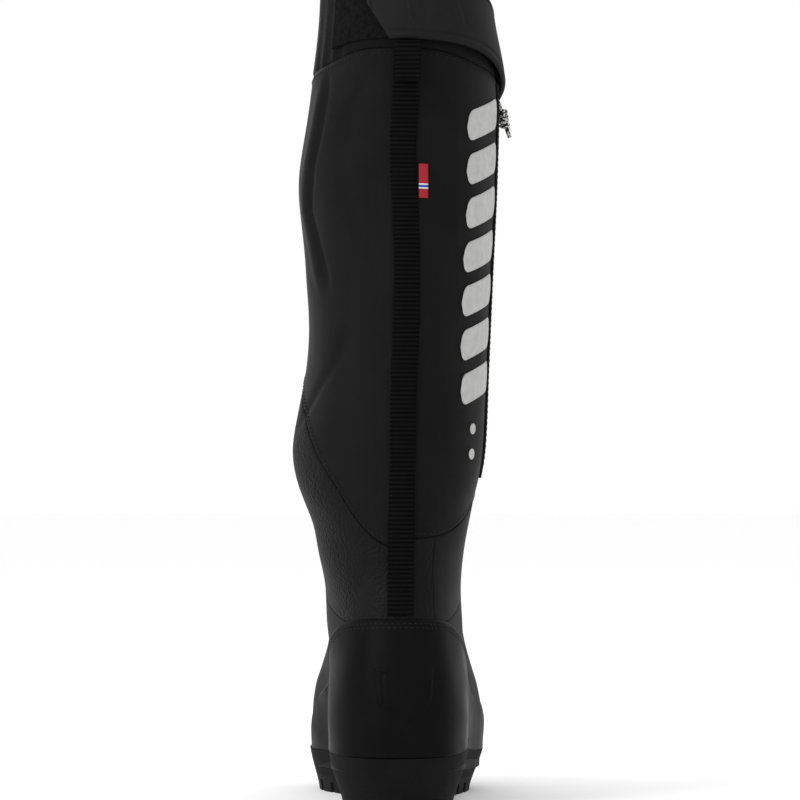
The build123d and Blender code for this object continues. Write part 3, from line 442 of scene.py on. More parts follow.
def crease(angle, z, line, depth, half_width):
    """A fold along a line of (angle, z) knots: a bell curve across it, fading at both its ends."""
    zs, angles = [k[1] for k in line], [k[0] for k in line]
    middle = np.interp(z, zs, angles)
    away = np.angle(np.exp(1j * (angle - middle))) * 58 / half_width
    fade = smooth_step(z, zs[0], zs[0] + 18) * (1 - smooth_step(z, zs[-1] - 18, zs[-1]))
    return depth * np.exp(-(away**2)) * fade


def rumple(angle, p):
    """How the soft shaft hangs: long folds on the inner side, shallow ones across the ankle, slack between."""
    z = p[..., 2]
    folds = crease(angle, z, [(-0.85, 300), (-1.15, 350), (-0.98, 395), (-0.92, 436)], -2.0, 3.4)
    folds += crease(angle, z, [(-1.0, 296), (-1.3, 350), (-1.13, 395), (-1.05, 430)], 1.0, 5.0)
    folds += crease(angle, z, [(-0.5, 200), (-0.62, 250), (-0.55, 310), (-0.7, 380)], -0.9, 9.0)
    folds += crease(angle, z, [(0.38, 190), (0.42, 300), (0.36, 420)], 0.5, 8.0)
    folds += crease(angle, z, [(-0.35, 330), (-0.62, 372), (-0.5, 412), (-0.25, 438)], -1.1, 6.0)
    folds += crease(angle, z, [(-1.5, 215), (-1.1, 240), (-0.75, 262), (-0.5, 290)], -1.3, 5.0)
    folds += crease(angle, z, [(0.3, 330), (0.52, 360), (0.48, 400), (0.3, 436)], -0.7, 6.0)
    across = 0.8 * np.sin(z / 6.5 + 2.2 * np.sin(angle + 0.4)) * np.exp(-(((z - 168) / 26) ** 2))
    slack = 0.75 * np.sin(z / 31 + 1.7 * np.sin(2 * angle)) * np.sin(2 * angle + z / 47)
    slack += 0.34 * np.sin(z / 13 + 3 * angle) * np.sin(5 * angle - z / 29)
    zip_side = np.exp(-(((np.angle(np.exp(1j * (angle - 1.606)))) / 0.34) ** 4))
    ends = smooth_step(z, 112, 134) * (1 - smooth_step(z, 474, 490))
    return (folds + across + slack) * (1 - zip_side) * ends


def hem(distance, width=1.6, depth=0.5):
    """A turned edge: the surface dips to the seam over the last of its width."""
    return -depth * (1 - smooth_step(distance, 0, width))


def seam_relief(seam, side):
    def relief(angle, p):
        edge = side * (p[..., 2] - through_knots(*zip(*seam), p[..., 1]))
        return rumple(angle, p) + hem(edge)

    return relief


PATCH_EDGE = 0.515  # angle of the pebbled fabric's edge on the outer side
inner_angles = np.linspace(-np.pi, BACK_SEAM - 0.02, 210)
strip_angles = np.linspace(BACK_SEAM - 0.02, PATCH_EDGE, 44)
outer_angles = np.linspace(PATCH_EDGE + 0.006, np.pi, 150)
ankle_cuts = [
    ("ankle_panel_inner", inner_angles, INNER_SEAM, pebbled, "ballistic_fabric", "ankle_panel"),
    ("ankle_panel_strip", strip_angles, OUTER_SEAM, pebbled, "ballistic_fabric", "ankle_panel"),
    ("ankle_panel_outer", outer_angles, OUTER_SEAM, None, "gaiter_fabric", "ankle_side_panel"),
]
gaiter_nylon = nylon("gaiter_nylon", (0.0052, 0.0050, 0.0050), 0.5, 480.0, 0.45)
for name, angles, seam, finish, slot, node in ankle_cuts:
    piece = panel(name, angles, [(ANKLE_LOW, 0.3), (seam, -0.3)], [70], 0.0, SKIN, seam_relief(seam, -1))
    piece.data.materials.append(finish or gaiter_nylon)
    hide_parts(node)
    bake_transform(piece)


# ---- Gaiter --------------------------------------------------------------------------------------
# Two halves of smooth coated nylon, sewn up the back and the front, over a brushed fleece lining. The
# outer half is cut open for the zip.
CUFF_SEAM = TOP - 52
CUFF_LINE = [(HEEL - 20, CUFF_SEAM + 2), (HEEL + 25, CUFF_SEAM - 0.5), (HEEL + 48, CUFF_SEAM - 8)]
CUFF_LINE += [(HEEL + 82, CUFF_SEAM - 14), (TOE, CUFF_SEAM - 28)]
TOP_LINE = [(HEEL - 20, TOP + 6.6), (TOE, TOP - 37.4)]
ZIP_ANGLE, SLOT_HALF = np.radians(92), 0.0925
ZIP_RADIUS = 66  # millimetres round the leg for each radian, at the zip


def flat_line(z):
    return [(HEEL - 20, z), (TOE + 20, z)]


def gaiter_relief(seam):
    def relief(angle, p):
        low = p[..., 2] - through_knots(*zip(*seam), p[..., 1])
        high = through_knots(*zip(*CUFF_LINE), p[..., 1]) - p[..., 2]
        return rumple(angle, p) + hem(low, 1.8, 0.5) + hem(high, 2.2, 0.6)

    return relief


gaiter_inner = panel(
    "gaiter_inner_half", np.linspace(-np.pi, BACK_SEAM - 0.006, 260), [(INNER_SEAM, 0), (CUFF_LINE, -0.3)], [220],
    0.0, SKIN, gaiter_relief(INNER_SEAM)
)
before_slot = np.linspace(BACK_SEAM, ZIP_ANGLE - SLOT_HALF, 110)
slot_angles = np.linspace(ZIP_ANGLE - SLOT_HALF, ZIP_ANGLE + SLOT_HALF, 9)[1:-1]
after_slot = np.linspace(ZIP_ANGLE + SLOT_HALF, np.pi, 110)
outer_half = np.concatenate([before_slot, slot_angles, after_slot])
levels = [(OUTER_SEAM, 0), (flat_line(199), 0), (flat_line(427), 0), (CUFF_LINE, -0.3)]
rows = [14, 200, 10]
keep = np.ones((sum(rows), outer_half.size - 1), bool)
keep[rows[0] : rows[0] + rows[1], before_slot.size - 1 : before_slot.size + slot_angles.size] = False
gaiter_outer = panel("gaiter_outer_half", outer_half, levels, rows, 0.0, SKIN, gaiter_relief(OUTER_SEAM), keep)
for piece, node in ((gaiter_inner, "gaiter_medial"), (gaiter_outer, "gaiter_lateral")):
    fit_out(piece, gaiter_nylon, node, "shaft")

fleece = material("brushed_fleece", (0.03, 0.031, 0.034), 0.95, Sheen_Weight=0.05, Sheen_Roughness=0.6)
coords = add_node(fleece, "TexCoord")
mottle(fleece, coords, (0.03, 0.031, 0.034), 0.75, 1.3, 180.0)
pile = add_node(fleece, "TexNoise", [("Vector", coords, "Object")], Scale=650.0, Detail=8.0, Roughness=0.7)
bump_from(fleece, pile, "Fac", 0.9, 0.0012)
wide = 16.5 / ZIP_RADIUS
lining_angles = np.linspace(ZIP_ANGLE + wide, ZIP_ANGLE - wide + TURN, 200)
gap_angles = np.linspace(ZIP_ANGLE - wide, ZIP_ANGLE + wide, 14)[1:-1] + TURN
lining_angles = np.concatenate([lining_angles, gap_angles])
levels = [(OUTER_SEAM, 4), (flat_line(433), 0), (TOP_LINE, -5.3)]
rows = [110, 24]
keep = np.ones((sum(rows), lining_angles.size), bool)
keep[: rows[0], 199:] = False
lining = panel("shaft_fleece", lining_angles, levels, rows, -2.1, 2.5, rumple, keep, wrap=True)
fit_out(lining, fleece, "shaft_lining", "shaft")


# ---- Cuff ----------------------------------------------------------------------------------------
# A band of woven nylon gathered into the gaiter's top seam, its edge bound with folded tape. A soft loop
# patch is sewn on its back for the strap's hooks.
cuff_nylon = nylon("cuff_nylon", (0.0045, 0.0045, 0.0046), 0.6, 380.0, 0.8)
binding_tape = nylon("binding_tape", (0.0045, 0.0045, 0.0046), 0.6, 420.0, 0.9)


def gathers(angle, p):
    """Upright tucks on the inner side: a rectified sine round the cuff that fades towards its top."""
    around = np.angle(np.exp(1j * angle))
    place = np.exp(-(((around + 0.95) / 0.36) ** 4)) + 0.35 * np.exp(-(((around + 2.1) / 0.6) ** 4))
    rise = p[..., 2] - through_knots(*zip(*CUFF_LINE), p[..., 1])
    tucks = -1.7 * place * np.abs(np.sin(angle * 14.5)) ** 1.6 * np.exp(-rise / 40)
    return tucks + hem(rise, 2.4, 0.7) + 0.5 * rumple(angle, p)


cuff = panel("cuff_nylon_band", round_angles, [(CUFF_LINE, 0), (TOP_LINE, -5.3)], [70], 0.2, 1.9, gathers, wrap=True)
fit_out(cuff, cuff_nylon, "cuff_band", "shaft")


def bound_edge(rows=18):
    """Tape folded over the edge: its section is a flattened U, outer face, round top and inner face, carried round
    the cuff. Each place on the section has a height under the top line and a distance from the last."""
    turn = np.linspace(0, np.pi, rows)
    drop = np.concatenate([[5.0], 1.9 - 1.9 * np.sin(turn), [5.0]])
    out = np.concatenate([[1.2], -2.2 + 3.5 * np.cos(turn), [-5.6]])
    u = np.stack([ring_at(round_angles, np.array(TOP_LINE, float), -d) for d in drop])
    a = np.broadcast_to(round_angles, u.shape)
    p, n = last(a, u), outward(a, u)
    middle = -2.2 + 2.3 * np.cos(np.concatenate([[0], turn, [np.pi]]))
    v = np.stack([ring_at(round_angles, np.array(TOP_LINE, float), -d) for d in np.maximum(drop, 1.2)])
    q, m = last(a, v), outward(a, v)
    return p + n * out[:, None, None], q + m * middle[:, None, None]


edge_out, edge_in = bound_edge()
binding = shell("cuff_bound_edge", edge_out, edge_in, wrap=True)
fit_out(binding, binding_tape, "cuff_binding", "shaft")


# ---- Back webbing, pull loop and side tab --------------------------------------------------------
# Ribbed nylon webbing, 15 wide, sewn over the back seam from the heel cup to the cuff. A folded length of
# the same webbing hangs from the cuff's seam as a pull loop, and a woven tab is sewn in beside it.
WEBBING_LINE = [(90, 2.0), (150, 2.2), (198, 3.2), (245, 3.8), (314, 5.8), (355, 4.4), (385, 3.4)]
WEBBING_LINE += [(420, 5), (470, 6.5)]
webbing_weave = material("webbing_weave", (0.002, 0.002, 0.002), 0.7, Specular_IOR_Level=0.025)
coords = add_node(webbing_weave, "TexCoord")
# Painted light and shade: the colour runs in dark and light bands at the ribs' pitch, painted shade and painted
# highlight across the ribs rather than a change of dye.
rib = add_node(webbing_weave, "TexWave", [("Vector", coords, "Object")], bands_direction="Z", Scale=120.8)
painted_rib_shading = add_node(webbing_weave, "ValToRGB", [("Fac", rib, "Fac")])
painted_rib_shading.color_ramp.elements[0].color = (0.0006, 0.0006, 0.0006, 1)
painted_rib_shading.color_ramp.elements[1].color = (0.0042, 0.0042, 0.0042, 1)
feed(webbing_weave, "Base Color", painted_rib_shading, "Color")
yarn = add_node(
    webbing_weave, "TexWave", [("Vector", coords, "Object")], bands_direction="X", Scale=380.0, Distortion=1.0
)
bump_from(webbing_weave, yarn, "Fac", 0.6, 0.0003)


def beside_back(x, u):
    """The angle at which the last stands x to the side of its back line on ring u: x over the ring's width."""
    rings = np.arange(len(BACK))
    return x / np.where(x >= 0, through_knots(rings, OUTER[:, 0], u), through_knots(rings, INNER[:, 0], u))


def back_patch(name, x_low, x_high, low, high, rows, cols, out, thick, relief):
    """A strip up the back. Across it x runs between two edges, each a number or a function of the height."""
    z = np.linspace(low, high, rows)
    u = np.array([ring_at(np.zeros(rows), np.array(flat_line(0.0)), z)]).reshape(rows, 1)
    left = x_low(z) if callable(x_low) else np.full(rows, float(x_low))
    right = x_high(z) if callable(x_high) else np.full(rows, float(x_high))
    x = left[:, None] + (right - left)[:, None] * np.linspace(0, 1, cols)
    u = np.broadcast_to(u, x.shape)
    angle = beside_back(x, u)
    p, n = last(angle, u), outward(angle, u)
    lift = (out + relief(angle, p, x - (left + right)[:, None] / 2))[..., None]
    return shell(name, p + n * lift, p + n * (lift - thick))


def webbing_middle(z):
    return through_knots([k[0] for k in WEBBING_LINE], [k[1] for k in WEBBING_LINE], z)


def ribs(z, pitch=2.6, depth=0.3):
    """Weft ribs across the webbing: a rounded saw, the root of a rectified sine."""
    return depth * np.sqrt(np.abs(np.sin(np.pi * z / pitch)))


def webbing_relief(angle, p, x):
    edge = -0.45 * smooth_step(np.abs(x), 6.6, 7.5)
    lines = -0.2 * np.exp(-(((np.abs(x) - 5.6) / 0.35) ** 2))
    return rumple(angle, p) + ribs(p[..., 2]) + edge + lines


webbing = back_patch(
    "back_webbing", lambda z: webbing_middle(z) - 7.5, lambda z: webbing_middle(z) + 7.5, 113.5, 443, 700, 21,
    1.55, 1.2, webbing_relief
)
webbing.data.materials.append(webbing_weave)
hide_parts("heel_webbing")
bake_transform(webbing)


def swept(name, path, side, out, section, closed):
    """A profile carried along a path: point = path + section_x * side + section_y * out. An open path's ends are
    closed by a last ring shrunk to its middle."""
    if not closed:
        path = np.concatenate([path[:1], path, path[-1:]])
        side, out = [np.concatenate([v[:1], v, v[-1:]]) for v in (side, out)]
        scale = np.ones(len(path))
        scale[[0, -1]] = 0.02
    else:
        scale = np.ones(len(path))
    reach = section[:, 0, None] * side[:, None] + section[:, 1, None] * out[:, None]
    points = path[:, None] + scale[:, None, None] * reach
    n, k = points.shape[:2]
    index = np.arange(n * k).reshape(n, k)
    following = np.roll(index, -1, 0) if closed else index[1:]
    this = index if closed else index[:-1]
    faces = np.stack([this, np.roll(this, -1, 1), np.roll(following, -1, 1), following], -1).reshape(-1, 4).tolist()
    if not closed:
        faces += [index[0][::-1].tolist(), index[-1].tolist()]
    mesh = bpy.data.meshes.new(name)
    mesh.from_pydata(points.reshape(-1, 3) / 1000, [], faces)
    mesh.polygons.foreach_set("use_smooth", [True] * len(faces))
    made = bpy.data.objects.new(name, mesh)
    bpy.context.scene.collection.objects.link(made)
    return made


def along_path(points, count):
    """A smooth path through points at even steps, with its unit tangents."""
    points = np.asarray(points, float)
    place = np.concatenate([[0], np.cumsum(np.linalg.norm(np.diff(points, axis=0), axis=1))])
    at = np.linspace(0, place[-1], count)
    path = np.stack([through_knots(place, points[:, k], at) for k in range(3)], -1)
    tangent = np.gradient(path, axis=0)
    return path, tangent / np.linalg.norm(tangent, axis=1, keepdims=True)


joint = {j["name"]: j for j in frame["joints"]}
loop_top = np.array(joint["loop_swing"]["pos_m"]) * 1000
turn = np.linspace(0, TURN, 160, endpoint=False)
down = np.array([0, -0.085, -0.9964])
away = np.array([0, -0.9964, 0.085])
straight = 9.3 * np.sign(np.sin(turn)) * np.minimum(1, np.abs(np.sin(turn)) * 1.35)
ring_path = loop_top + down * (9.3 + straight + 2.0 * np.sin(turn))[:, None] + away * (2.0 * np.cos(turn))[:, None]
ring_tangent = np.roll(ring_path, -1, 0) - np.roll(ring_path, 1, 0)
ring_tangent /= np.linalg.norm(ring_tangent, axis=1, keepdims=True)
ring_side = np.repeat([[1.0, 0, 0]], len(turn), 0)
flat = np.linspace(0, TURN, 24, endpoint=False)
flat_wide = 7.5 * np.sign(np.cos(flat)) * np.abs(np.cos(flat)) ** 0.35
flat_high = 0.68 * np.sign(np.sin(flat)) * np.abs(np.sin(flat)) ** 0.6
flat_section = np.stack([flat_wide, flat_high], -1)
pull_loop = swept("pull_loop", ring_path, ring_side, np.cross(ring_side, ring_tangent), flat_section, True)
fit_out(pull_loop, webbing_weave, "heel_loop", "loop")

tab_weave = material("tab_weave", (0.25, 0.012, 0.02), 0.75, Specular_IOR_Level=0.2)
coords = add_node(tab_weave, "TexCoord")
split = add_node(tab_weave, "SeparateXYZ", [("Vector", coords, "UV")])
stripes = add_node(tab_weave, "ValToRGB", [("Fac", split, "Y")])
ramp = stripes.color_ramp
ramp.interpolation = "CONSTANT"
ramp.elements[0].color = (0.25, 0.012, 0.02, 1)
ramp.elements[1].position, ramp.elements[1].color = 0.27, (0.55, 0.55, 0.58, 1)
for place, colour in ((0.31, (0.02, 0.05, 0.25, 1)), (0.38, (0.55, 0.55, 0.58, 1)), (0.42, (0.25, 0.012, 0.02, 1))):
    stop = ramp.elements.new(place)
    stop.color = colour
feed(tab_weave, "Base Color", stripes, "Color")
yarn = add_node(tab_weave, "TexWave", [("Vector", coords, "Object")], bands_direction="Z", Scale=500.0)
bump_from(tab_weave, yarn, "Fac", 0.6, 0.0002)
tab = back_patch(
    "side_tab_woven", 12.6, 18.0, 357, 377, 30, 10, 1.2, 0.8,
    lambda angle, p, x: rumple(angle, p) + 0.15 * np.sin(p[..., 2] / 3.2) - 0.3 * smooth_step(np.abs(x), 2.2, 2.7)
)
tab_rows = np.repeat(np.linspace(0, 1, 30)[:, None], 10, 1) * 1000
cloth_uv(tab, np.repeat(np.linspace(0, 1, 10)[None], 30, 0) * 1000, tab_rows)
fit_out(tab, tab_weave, "side_tab", "shaft")


# ---- Reflective marks ----------------------------------------------------------------------------
# Pale grey reflective film, heat-pressed on the outer side: a column of plain slanted bars and two dots.
film = material("reflective_film", (0.38, 0.38, 0.37), 0.45, Specular_IOR_Level=0.2)
coords = add_node(film, "TexCoord")
mottle(film, coords, (0.38, 0.38, 0.37), 0.9, 1.08, 220.0)
beads = add_node(film, "TexVoronoi", [("Vector", coords, "Object")], Scale=1600.0)
bump_from(film, beads, "Distance", 0.2, 0.0002)


def film_shape(name, angle, z):
    """A thin film on the fabric at a grid of angles and heights."""
    u = ring_at(angle, np.array(flat_line(0.0)), z)
    p, n = last(angle, u), outward(angle, u)
    lift = (0.55 + rumple(angle, p))[..., None]
    return shell(name, p + n * lift, p + n * (lift - 0.35))


s, t = np.meshgrid(np.linspace(-1, 1, 29), np.linspace(-1, 1, 13))
end = np.clip((np.abs(s) - 0.72) / 0.28, 0, 1)
t = t * np.sqrt(1 - 0.995 * end**2)
marks = []
for i in range(7):
    low = ANKLE + (0.29 + 0.07 * i) * LEG
    marks.append(film_shape("mark_bar_%d" % i, np.pi * (0.345 + 0.1 * s), low + 5.2 + 5.2 * s + 9 + 9 * t))
r, turn_round = np.meshgrid(np.linspace(0.02, 3.2, 6), np.linspace(0, TURN, 25))
for i, share in enumerate((0.215, 0.255)):
    angle = np.pi * 0.32 + r * np.cos(turn_round) / 56
    marks.append(film_shape("mark_dot_%d" % i, angle, ANKLE + share * LEG + r * np.sin(turn_round)))
bpy.ops.object.select_all(action="DESELECT")
for mark in marks:
    mark.select_set(True)
bpy.context.view_layer.objects.active = marks[0]
bpy.ops.object.join()
marks[0].name = "reflective_bars"
marks[0].data.materials.clear()
marks[0].data.materials.append(film)
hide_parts("reflective_marks")
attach(marks[0], "shaft")


# ---- Zip -----------------------------------------------------------------------------------------
# A coarse moulded zip on woven tapes, sewn behind an opening with a flat taped edge. Its lacquered slider
# carries a loop of flecked cord, closed by a wrapped knot.
zip_plastic = material("zip_plastic", (0.006, 0.006, 0.006), 0.35, Specular_IOR_Level=0.12)
mottle(zip_plastic, add_node(zip_plastic, "TexCoord"), (0.006, 0.006, 0.006), 0.8, 1.4, 400.0)
slider_lacquer = material("slider_lacquer", (0.012, 0.012, 0.012), 0.3, Metallic=0.3)
mottle(slider_lacquer, add_node(slider_lacquer, "TexCoord"), (0.012, 0.012, 0.012), 0.8, 2.2, 500.0)
tape_weave = nylon("zip_tape_weave", (0.006, 0.006, 0.006), 0.75, 600.0, 0.9)
for name, finish in {
    "zip_teeth": zip_plastic,
    "zip_stops": zip_plastic,
    "zip_slider": slider_lacquer,
    "zip_tapes": tape_weave,
}.items():
    finish_node(name, finish)

edge_half = 11.5 / ZIP_RADIUS
edge_angles = np.concatenate([
    np.linspace(ZIP_ANGLE - edge_half, ZIP_ANGLE - SLOT_HALF - 0.005, 12),
    np.linspace(ZIP_ANGLE - SLOT_HALF - 0.005, ZIP_ANGLE + SLOT_HALF + 0.005, 9)[1:-1],
    np.linspace(ZIP_ANGLE + SLOT_HALF + 0.005, ZIP_ANGLE + edge_half, 12),
])
levels = [(flat_line(193), 0), (flat_line(198.4), 0), (flat_line(426), 0)]
keep = np.ones((8 + 160, edge_angles.size - 1), bool)
keep[8:, 11:19] = False


def welt_relief(angle, p):
    away = np.abs(angle - ZIP_ANGLE) * ZIP_RADIUS
    middle = 0.35 * np.exp(-(((away - 8.7) / 1.5) ** 2))
    return middle - 0.4 * smooth_step(away, 10.6, 11.5) + rumple(angle, p)


welt = panel("zip_taped_edge", edge_angles, levels, [8, 160], 1.05, 0.75, welt_relief, keep)
fit_out(welt, binding_tape, "zip_welts", "shaft")

flecked = material("flecked_braid", (0.02, 0.02, 0.02), 0.7, Specular_IOR_Level=0.2)
coords = add_node(flecked, "TexCoord")
cells = add_node(flecked, "TexVoronoi", [("Vector", coords, "Object")], Scale=950.0)
grey = add_node(flecked, "SeparateColor", [("Color", cells, "Color")])
fleck = add_node(flecked, "ValToRGB", [("Fac", grey, "Red")])
fleck.color_ramp.interpolation = "CONSTANT"
fleck.color_ramp.elements[0].color = (0.012, 0.012, 0.012, 1)
fleck.color_ramp.elements[1].position, fleck.color_ramp.elements[1].color = 0.55, (0.5, 0.5, 0.48, 1)
feed(flecked, "Base Color", fleck, "Color")
bump_from(flecked, cells, "Distance", 0.8, 0.0004, invert=True)

eye = np.array(joint["pull_swing"]["pos_m"]) * 1000
zip_up = -np.array(joint["zip_slide"]["axis"], float)
zip_across = np.array(joint["pull_swing"]["axis"], float)
zip_out = np.cross(zip_up, zip_across)


def from_eye(points):
    """Points given as (down the boot, across the zip, out of the boot) from the middle of the slider's eye."""
    down, across, out = np.asarray(points, float).T
    return eye - down[:, None] * zip_up + across[:, None] * zip_across + out[:, None] * zip_out


def braid(name, points, radius, count):
    """A round cord along a path: a circle of the given radius carried along it."""
    path, tangent = along_path(points, count)
    side = np.cross(tangent, zip_out + 0.01 * zip_up)
    side /= np.linalg.norm(side, axis=1, keepdims=True)
    ring = np.linspace(0, TURN, 16, endpoint=False)
    return swept(name, path, side, np.cross(side, tangent), radius * np.stack([np.cos(ring), np.sin(ring)], -1), False)


DROP = 13  # from the eye to the knot
turn = np.linspace(0, 4.2 * TURN, 60)
knot_down = DROP - 4.2 + 10.2 * turn / turn[-1]
knot_path = np.stack([knot_down, 2.35 * np.cos(turn), 5.4 - 0.2 * (DROP - knot_down) + 2.05 * np.sin(turn)], -1)
loop_points = [(12, -1.2, 5.0), (9, -1.6, 3.8), (5, -2.7, 2.2), (2.4, -2.7, 1.0), (0.4, -2.0, 0.1), (0, 0, 0)]
loop_points += [(d, -a, o) for d, a, o in loop_points[-2::-1]]
tail_points = [(13, 0.6, 5.4), (19, 0.9, 7.4), (24.5, 1.1, 9.6)]
pull = [
    braid("pull_cord", from_eye(loop_points), 1.22, 90),
    braid("pull_knot", from_eye(knot_path), 1.2, 220),
    braid("pull_tail", from_eye(tail_points), 1.15, 24),
    braid("pull_tail_two", from_eye([(d, -a, o) for d, a, o in tail_points]), 1.1, 24),
]
for piece in pull:
    fit_out(piece, flecked, "zip_pull", "pull")


# ---- Cuff strap ----------------------------------------------------------------------------------
# A wide strap moulded in matt rubber with a raised border and plain raised bars, sewn on in front of the
# zip. It wraps round the outer side to the back, where hooks under its end hold on the loop patch.
STRAP_LOW = [(HEEL - 20, CUFF_SEAM + 5), (HEEL + 24, CUFF_SEAM + 4), (HEEL + 51, CUFF_SEAM - 3)]
STRAP_LOW += [(HEEL + 81, CUFF_SEAM - 15), (HEEL + 112, CUFF_SEAM - 28), (HEEL + 152, CUFF_SEAM - 42)]
strap_rubber = material("strap_rubber", (0.0085, 0.0085, 0.0086), 0.6, Specular_IOR_Level=0.06)
coords = add_node(strap_rubber, "TexCoord")
mottle(strap_rubber, coords, (0.0085, 0.0085, 0.0086), 0.88, 1.15, 60.0)
grain = add_node(strap_rubber, "TexNoise", [("Vector", coords, "Object")], Scale=1500.0, Detail=4.0)
bump_from(strap_rubber, grain, "Fac", 0.35, 0.0003)
STRAP_END, STRAP_ROOT = -0.335, 2.098


def strap_grid(rows, cols, margin=0.0):
    """Columns round the cuff and rows across the strap. Near the free end the rows close in to a blunt point."""
    rear = np.linspace(STRAP_END, 0.1, cols // 2, endpoint=False)
    angle = np.concatenate([rear, np.linspace(0.1, STRAP_ROOT, cols // 2)])
    low = ring_at(angle % TURN, np.array(STRAP_LOW), margin)
    high = ring_at(angle % TURN, np.array(STRAP_LOW), 42.0 - margin)
    x = last(angle, low)[:, 0]
    near = 0.55 * (1 - np.clip((x + 17) / 13, 0, 1))
    far = 1 - 0.26 * (1 - np.clip((x + 17) / 12, 0, 1))
    share = near + (far - near) * np.linspace(0, 1, rows)[:, None]
    return np.broadcast_to(angle, share.shape), low + (high - low) * share, share


def strap_relief(angle, p, share):
    """A rounded edge, a groove 5 in from it, and a row of low slanted bars in the field between the grooves."""
    x_end = (p[..., 0] + 17) * (np.abs(angle) < 1) + 60 * (np.abs(angle) >= 1)
    corner = (x_end + 42 * np.minimum(share, 1 - share)) * 0.75
    root = (STRAP_ROOT - angle) * 62
    edge = np.minimum(np.minimum(np.minimum(42 * share, 42 * (1 - share)), np.minimum(x_end, root)), corner)
    rounded = -1.0 * (1 - smooth_step(edge, 0, 1.5))
    groove = -0.8 * np.exp(-(((edge - 4.5) / 0.8) ** 2))
    run = angle * 60 + 9 * (share - 0.5)
    bars = 0.5 * smooth_step(np.sin(run / 2.6), 0.1, 0.5) * smooth_step(edge, 10, 11.5) * (run > 6) * (run < 47)
    return rounded + groove + bars


a, u, share = strap_grid(100, 300)
p, n = last(a, u), outward(a, u)
lift = (5.9 + strap_relief(a, p, share))[..., None]
strap = shell("cuff_strap", p + n * lift, p + n * 3.4)
fit_out(strap, strap_rubber, "closure_strap", "strap")


def patch_on(name, angles, low, high, out, thick, relief=None):
    return panel(name, angles, [(STRAP_LOW, low), (STRAP_LOW, high)], [40], out, thick, relief)


anchor = patch_on("strap_sewn_foot", np.linspace(2.108, 2.47, 40), 0, 42, 2.9, 2.6)
fit_out(anchor, strap_rubber, "strap_anchor", "shaft")

hooks = material("hook_pile", (0.006, 0.006, 0.006), 0.8)
coords = add_node(hooks, "TexCoord")
mottle(hooks, coords, (0.006, 0.006, 0.006), 0.6, 1.6, 500.0)
points = add_node(hooks, "TexVoronoi", [("Vector", coords, "Object")], Scale=1100.0)
bump_from(hooks, points, "Distance", 1.0, 0.0006)
hook = patch_on("strap_hooks", np.linspace(-0.052, 0.55, 50), 4, 38, 2.95, 1.15)
fit_out(hook, hooks, "hook_patch", "strap")

loops = material("loop_pile", (0.005, 0.005, 0.0052), 0.95)
coords = add_node(loops, "TexCoord")
mottle(loops, coords, (0.005, 0.005, 0.0052), 0.6, 1.5, 400.0)
pile = add_node(loops, "TexNoise", [("Vector", coords, "Object")], Scale=900.0, Detail=8.0, Roughness=0.8)
bump_from(loops, pile, "Fac", 1.0, 0.001)
loop_angles = np.linspace(-0.86, 0.6, 120)
loop = patch_on("cuff_loop_patch", loop_angles, 1, 41, 1.5, 1.2, lambda angle, p: 0.5 * rumple(angle, p))
fit_out(loop, loops, "loop_patch", "shaft")


# ---- Stitching -----------------------------------------------------------------------------------
# Black bonded thread: double rows along the heel cup and the gaiter's inner seam, single rows along the
# outer seam, under the cuff and beside the zip. Each stitch is a spindle that dips into the cloth.
thread = material("bonded_thread", (0.012, 0.012, 0.012), 0.5)
mottle(thread, add_node(thread, "TexCoord"), (0.012, 0.012, 0.012), 0.85, 1.3, 900.0)


def stitch_row(name, angle, u, out, body, relief=rumple, pitch=3.4, length=2.6, radius=0.33):
    """Spindles at even steps along a line on the last: four-sided double cones, stretched along the line."""
    fine = np.linspace(0, 1, 1500)
    knots = np.linspace(0, 1, len(angle))
    a, v = np.interp(fine, knots, angle), np.interp(fine, knots, u)
    p, n = last(a, v), outward(a, v)
    p = p + n * (out + relief(a, p))[:, None]
    place = np.concatenate([[0], np.cumsum(np.linalg.norm(np.diff(p, axis=0), axis=1))])
    at = np.arange(pitch / 2, place[-1] - pitch / 2, pitch)
    centre = np.stack([np.interp(at, place, p[:, k]) for k in range(3)], -1)
    tangent = np.stack([np.interp(at, place, np.gradient(p[:, k], place)) for k in range(3)], -1)
    tangent /= np.linalg.norm(tangent, axis=1, keepdims=True)
    normal = np.stack([np.interp(at, place, n[:, k]) for k in range(3)], -1)
    side = np.cross(normal, tangent)
    corner = [(-0.5, 0, -0.6), (-0.22, 1, 0), (-0.22, 0, 1), (-0.22, -1, 0), (-0.22, 0, -1)]
    corner += [(0.22, 1, 0), (0.22, 0, 1), (0.22, -1, 0), (0.22, 0, -1), (0.5, 0, -0.6)]
    t, s, o = np.array(corner, float).T
    points = centre[:, None] + length * t[:, None] * tangent[:, None]
    points = points + radius * (s[:, None] * side[:, None] + o[:, None] * normal[:, None])
    one = [(0, 2, 1), (0, 3, 2), (0, 4, 3), (0, 1, 4), (9, 5, 6), (9, 6, 7), (9, 7, 8), (9, 8, 5)]
    one = np.array(one + [(1, 2, 6), (1, 6, 5), (2, 3, 7), (2, 7, 6), (3, 4, 8), (3, 8, 7), (4, 1, 5), (4, 5, 8)])
    faces = (one[None] + 10 * np.arange(len(at))[:, None, None]).reshape(-1, 3)
    mesh = bpy.data.meshes.new(name)
    mesh.from_pydata(points.reshape(-1, 3) / 1000, [], faces.tolist())
    mesh.polygons.foreach_set("use_smooth", [True] * len(faces))
    row = bpy.data.objects.new(name, mesh)
    bpy.context.scene.collection.objects.link(row)
    row.data.materials.append(thread)
    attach(row, body)
    return row


def row_along(name, angles, line, lift, out, body, relief=rumple):
    angles = np.asarray(angles, float)
    return stitch_row(name, angles, ring_at(angles, np.array(line, float), lift), out, body, relief)


